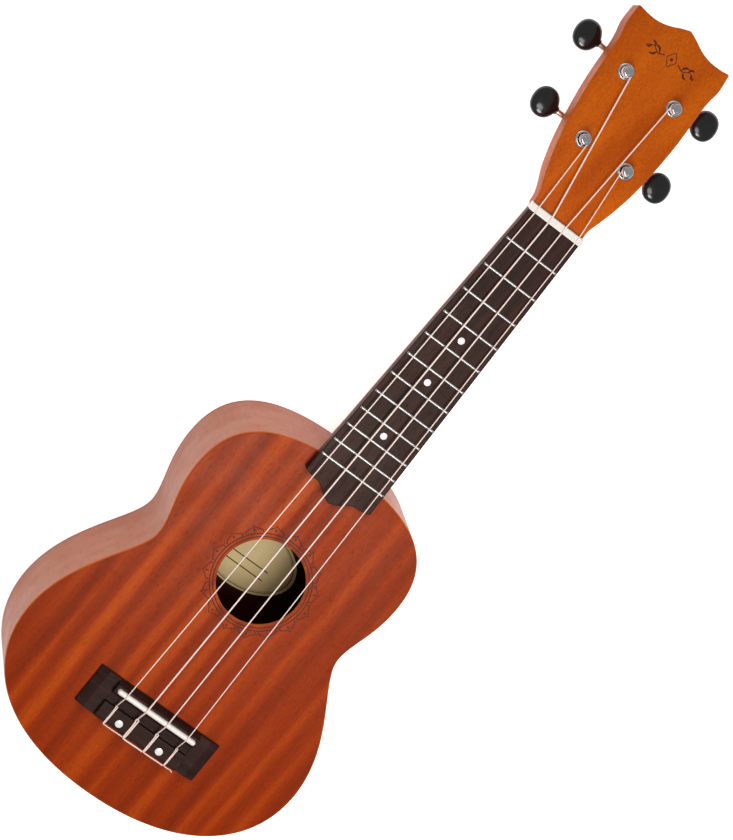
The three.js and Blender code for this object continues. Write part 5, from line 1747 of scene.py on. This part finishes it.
    def wheel(self, sizes):
        """The toothed wheel, its teeth leaning to follow the thread."""
        pitch = sizes.teeth * sizes.module / 2
        root = pitch - 0.66 * MM
        tip = WORM.y - sizes.worm_core - 0.12 * MM
        lean = sizes.module / 2 / ((WORM.y - pitch) * pitch)
        shares = [(-0.5, root), (-0.32, root), (-0.25, root + (tip - root) * 0.4),
                  (-0.14, tip - 0.1 * MM), (-0.08, tip), (0.08, tip), (0.14, tip - 0.1 * MM),
                  (0.25, root + (tip - root) * 0.4), (0.32, root)]
        levels = [(-0.5, 0.12 * MM), (-0.44, 0.0), (-0.2, 0.0), (0.2, 0.0), (0.44, 0.0),
                  (0.5, 0.12 * MM)]
        made = Solid()
        outer = []
        for share_z, inset in levels:
            z = share_z * sizes.gear_thickness
            points = []
            for tooth in range(sizes.teeth):
                for share, radius in shares:
                    turn = (tooth + share) * math.tau / sizes.teeth + lean * z
                    size = radius - inset
                    points.append((size * math.cos(turn), size * math.sin(turn), WORM.z + z))
            outer.append(made.ring(points))
        count = sizes.teeth * len(shares)
        bore = sizes.shank_radius
        inner = []
        for share_z in (-0.5, 0.5):
            z = WORM.z + share_z * sizes.gear_thickness
            turns = [(i / len(shares) - 0.5) * math.tau / sizes.teeth for i in range(count)]
            inner.append(made.ring((bore * math.cos(a), bore * math.sin(a), z) for a in turns))
        made.skin(outer)
        made.bridge(inner[0], outer[0])
        made.bridge(outer[-1], inner[1])
        made.bridge(inner[1], inner[0])
        hub = sizes.shank_radius + 0.9 * MM
        low = WORM.z + sizes.gear_thickness / 2
        high = low + 0.8 * MM
        return made.add(lathe([(bore, low), (hub, low), (hub, high - 0.25 * MM),
                               (hub - 0.25 * MM, high), (bore, high)], 40))

    def ferrule(self, sizes):
        bore, sleeve = sizes.post_radius + 0.3 * MM, sizes.sleeve_radius - 0.1 * MM
        rim_z, seat = 1.3 * MM, 0.05 * MM
        corners = [(bore, -sizes.sleeve_length), (sleeve, -sizes.sleeve_length),
                   (sleeve, seat), (sizes.ferrule_radius, seat),
                   (sizes.ferrule_radius, 0.45 * MM), (sizes.ferrule_radius - 0.75 * MM, rim_z),
                   (bore + 0.35 * MM, rim_z), (bore, rim_z - 0.4 * MM)]
        smooth = filleted(corners, 0.3 * MM, 4)
        return lathe([tuple(point) for point in smooth], 72)

    def screw(self):
        """A domed head with a cross recess, facing down."""
        radius, height, brim = 1.75 * MM, 0.85 * MM, 0.12 * MM
        profile = [(0, 0), (radius, 0), (radius, brim)]
        for k in range(1, 8):
            turn = k * math.pi / 16
            profile.append((radius * math.cos(turn), brim + (height - brim) * math.sin(turn)))
        head = lathe(profile + [(0, height)], 32)
        wide, thin, floor = 1.05 * MM, 0.22 * MM, height - 0.45 * MM
        cross = [(wide, thin), (thin, thin), (thin, wide), (-thin, wide), (-thin, thin),
                 (-wide, thin), (-wide, -thin), (-thin, -thin), (-thin, -wide), (thin, -wide),
                 (thin, -thin), (wide, -thin)]
        head = cut_solid(head, slab(cross, floor, height + MM))
        return head.moved(Matrix.Rotation(math.pi, 4, "X"))


BUILDERS = (
    UKULELE_OT_studio,
    UKULELE_OT_body,
    UKULELE_OT_inside,
    UKULELE_OT_rosette,
    UKULELE_OT_neck,
    UKULELE_OT_fretboard,
    UKULELE_OT_nut_and_saddle,
    UKULELE_OT_bridge,
    UKULELE_OT_strings,
    UKULELE_OT_tuners,
)


class UKULELE_PT_panel(bpy.types.Panel):
    """Lists the builders in the 3D view's sidebar"""

    bl_idname = "UKULELE_PT_panel"
    bl_label = "Ukulele"
    bl_space_type = "VIEW_3D"
    bl_region_type = "UI"
    bl_category = "Ukulele"

    def draw(self, context):
        for builder in BUILDERS:
            self.layout.operator(builder.bl_idname)


GROUPS = {
    "ukulele_body": UKULELE_PG_body,
    "ukulele_neck": UKULELE_PG_neck,
    "ukulele_strings": UKULELE_PG_strings,
    "ukulele_tuners": UKULELE_PG_tuners,
    "ukulele_colours": UKULELE_PG_colours,
    "ukulele_studio": UKULELE_PG_studio,
}


def register():
    for name, group in GROUPS.items():
        bpy.utils.register_class(group)
        setattr(bpy.types.Scene, name, bpy.props.PointerProperty(type=group))
    for builder in BUILDERS:
        bpy.utils.register_class(builder)
    bpy.utils.register_class(UKULELE_PT_panel)


def unregister():
    bpy.utils.unregister_class(UKULELE_PT_panel)
    for builder in reversed(BUILDERS):
        bpy.utils.unregister_class(builder)
    for name, group in reversed(GROUPS.items()):
        delattr(bpy.types.Scene, name)
        bpy.utils.unregister_class(group)


def write_sizes():
    """Puts the frame's box and the finished object's box into plain lists."""
    boxes = {"cad": CAD_BOX, "visual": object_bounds()}
    plain = {name: [list(low), list(high)] for name, (low, high) in boxes.items()}


def main():
    register()
    bpy.ops.ukulele.studio()
    bpy.ops.ukulele.body()
    bpy.ops.ukulele.inside()
    bpy.ops.ukulele.rosette()
    bpy.ops.ukulele.neck()
    bpy.ops.ukulele.fretboard()
    bpy.ops.ukulele.nut_and_saddle()
    bpy.ops.ukulele.bridge()
    bpy.ops.ukulele.strings()
    bpy.ops.ukulele.tuners()
    write_sizes()


if __name__ == "__main__":
    main()
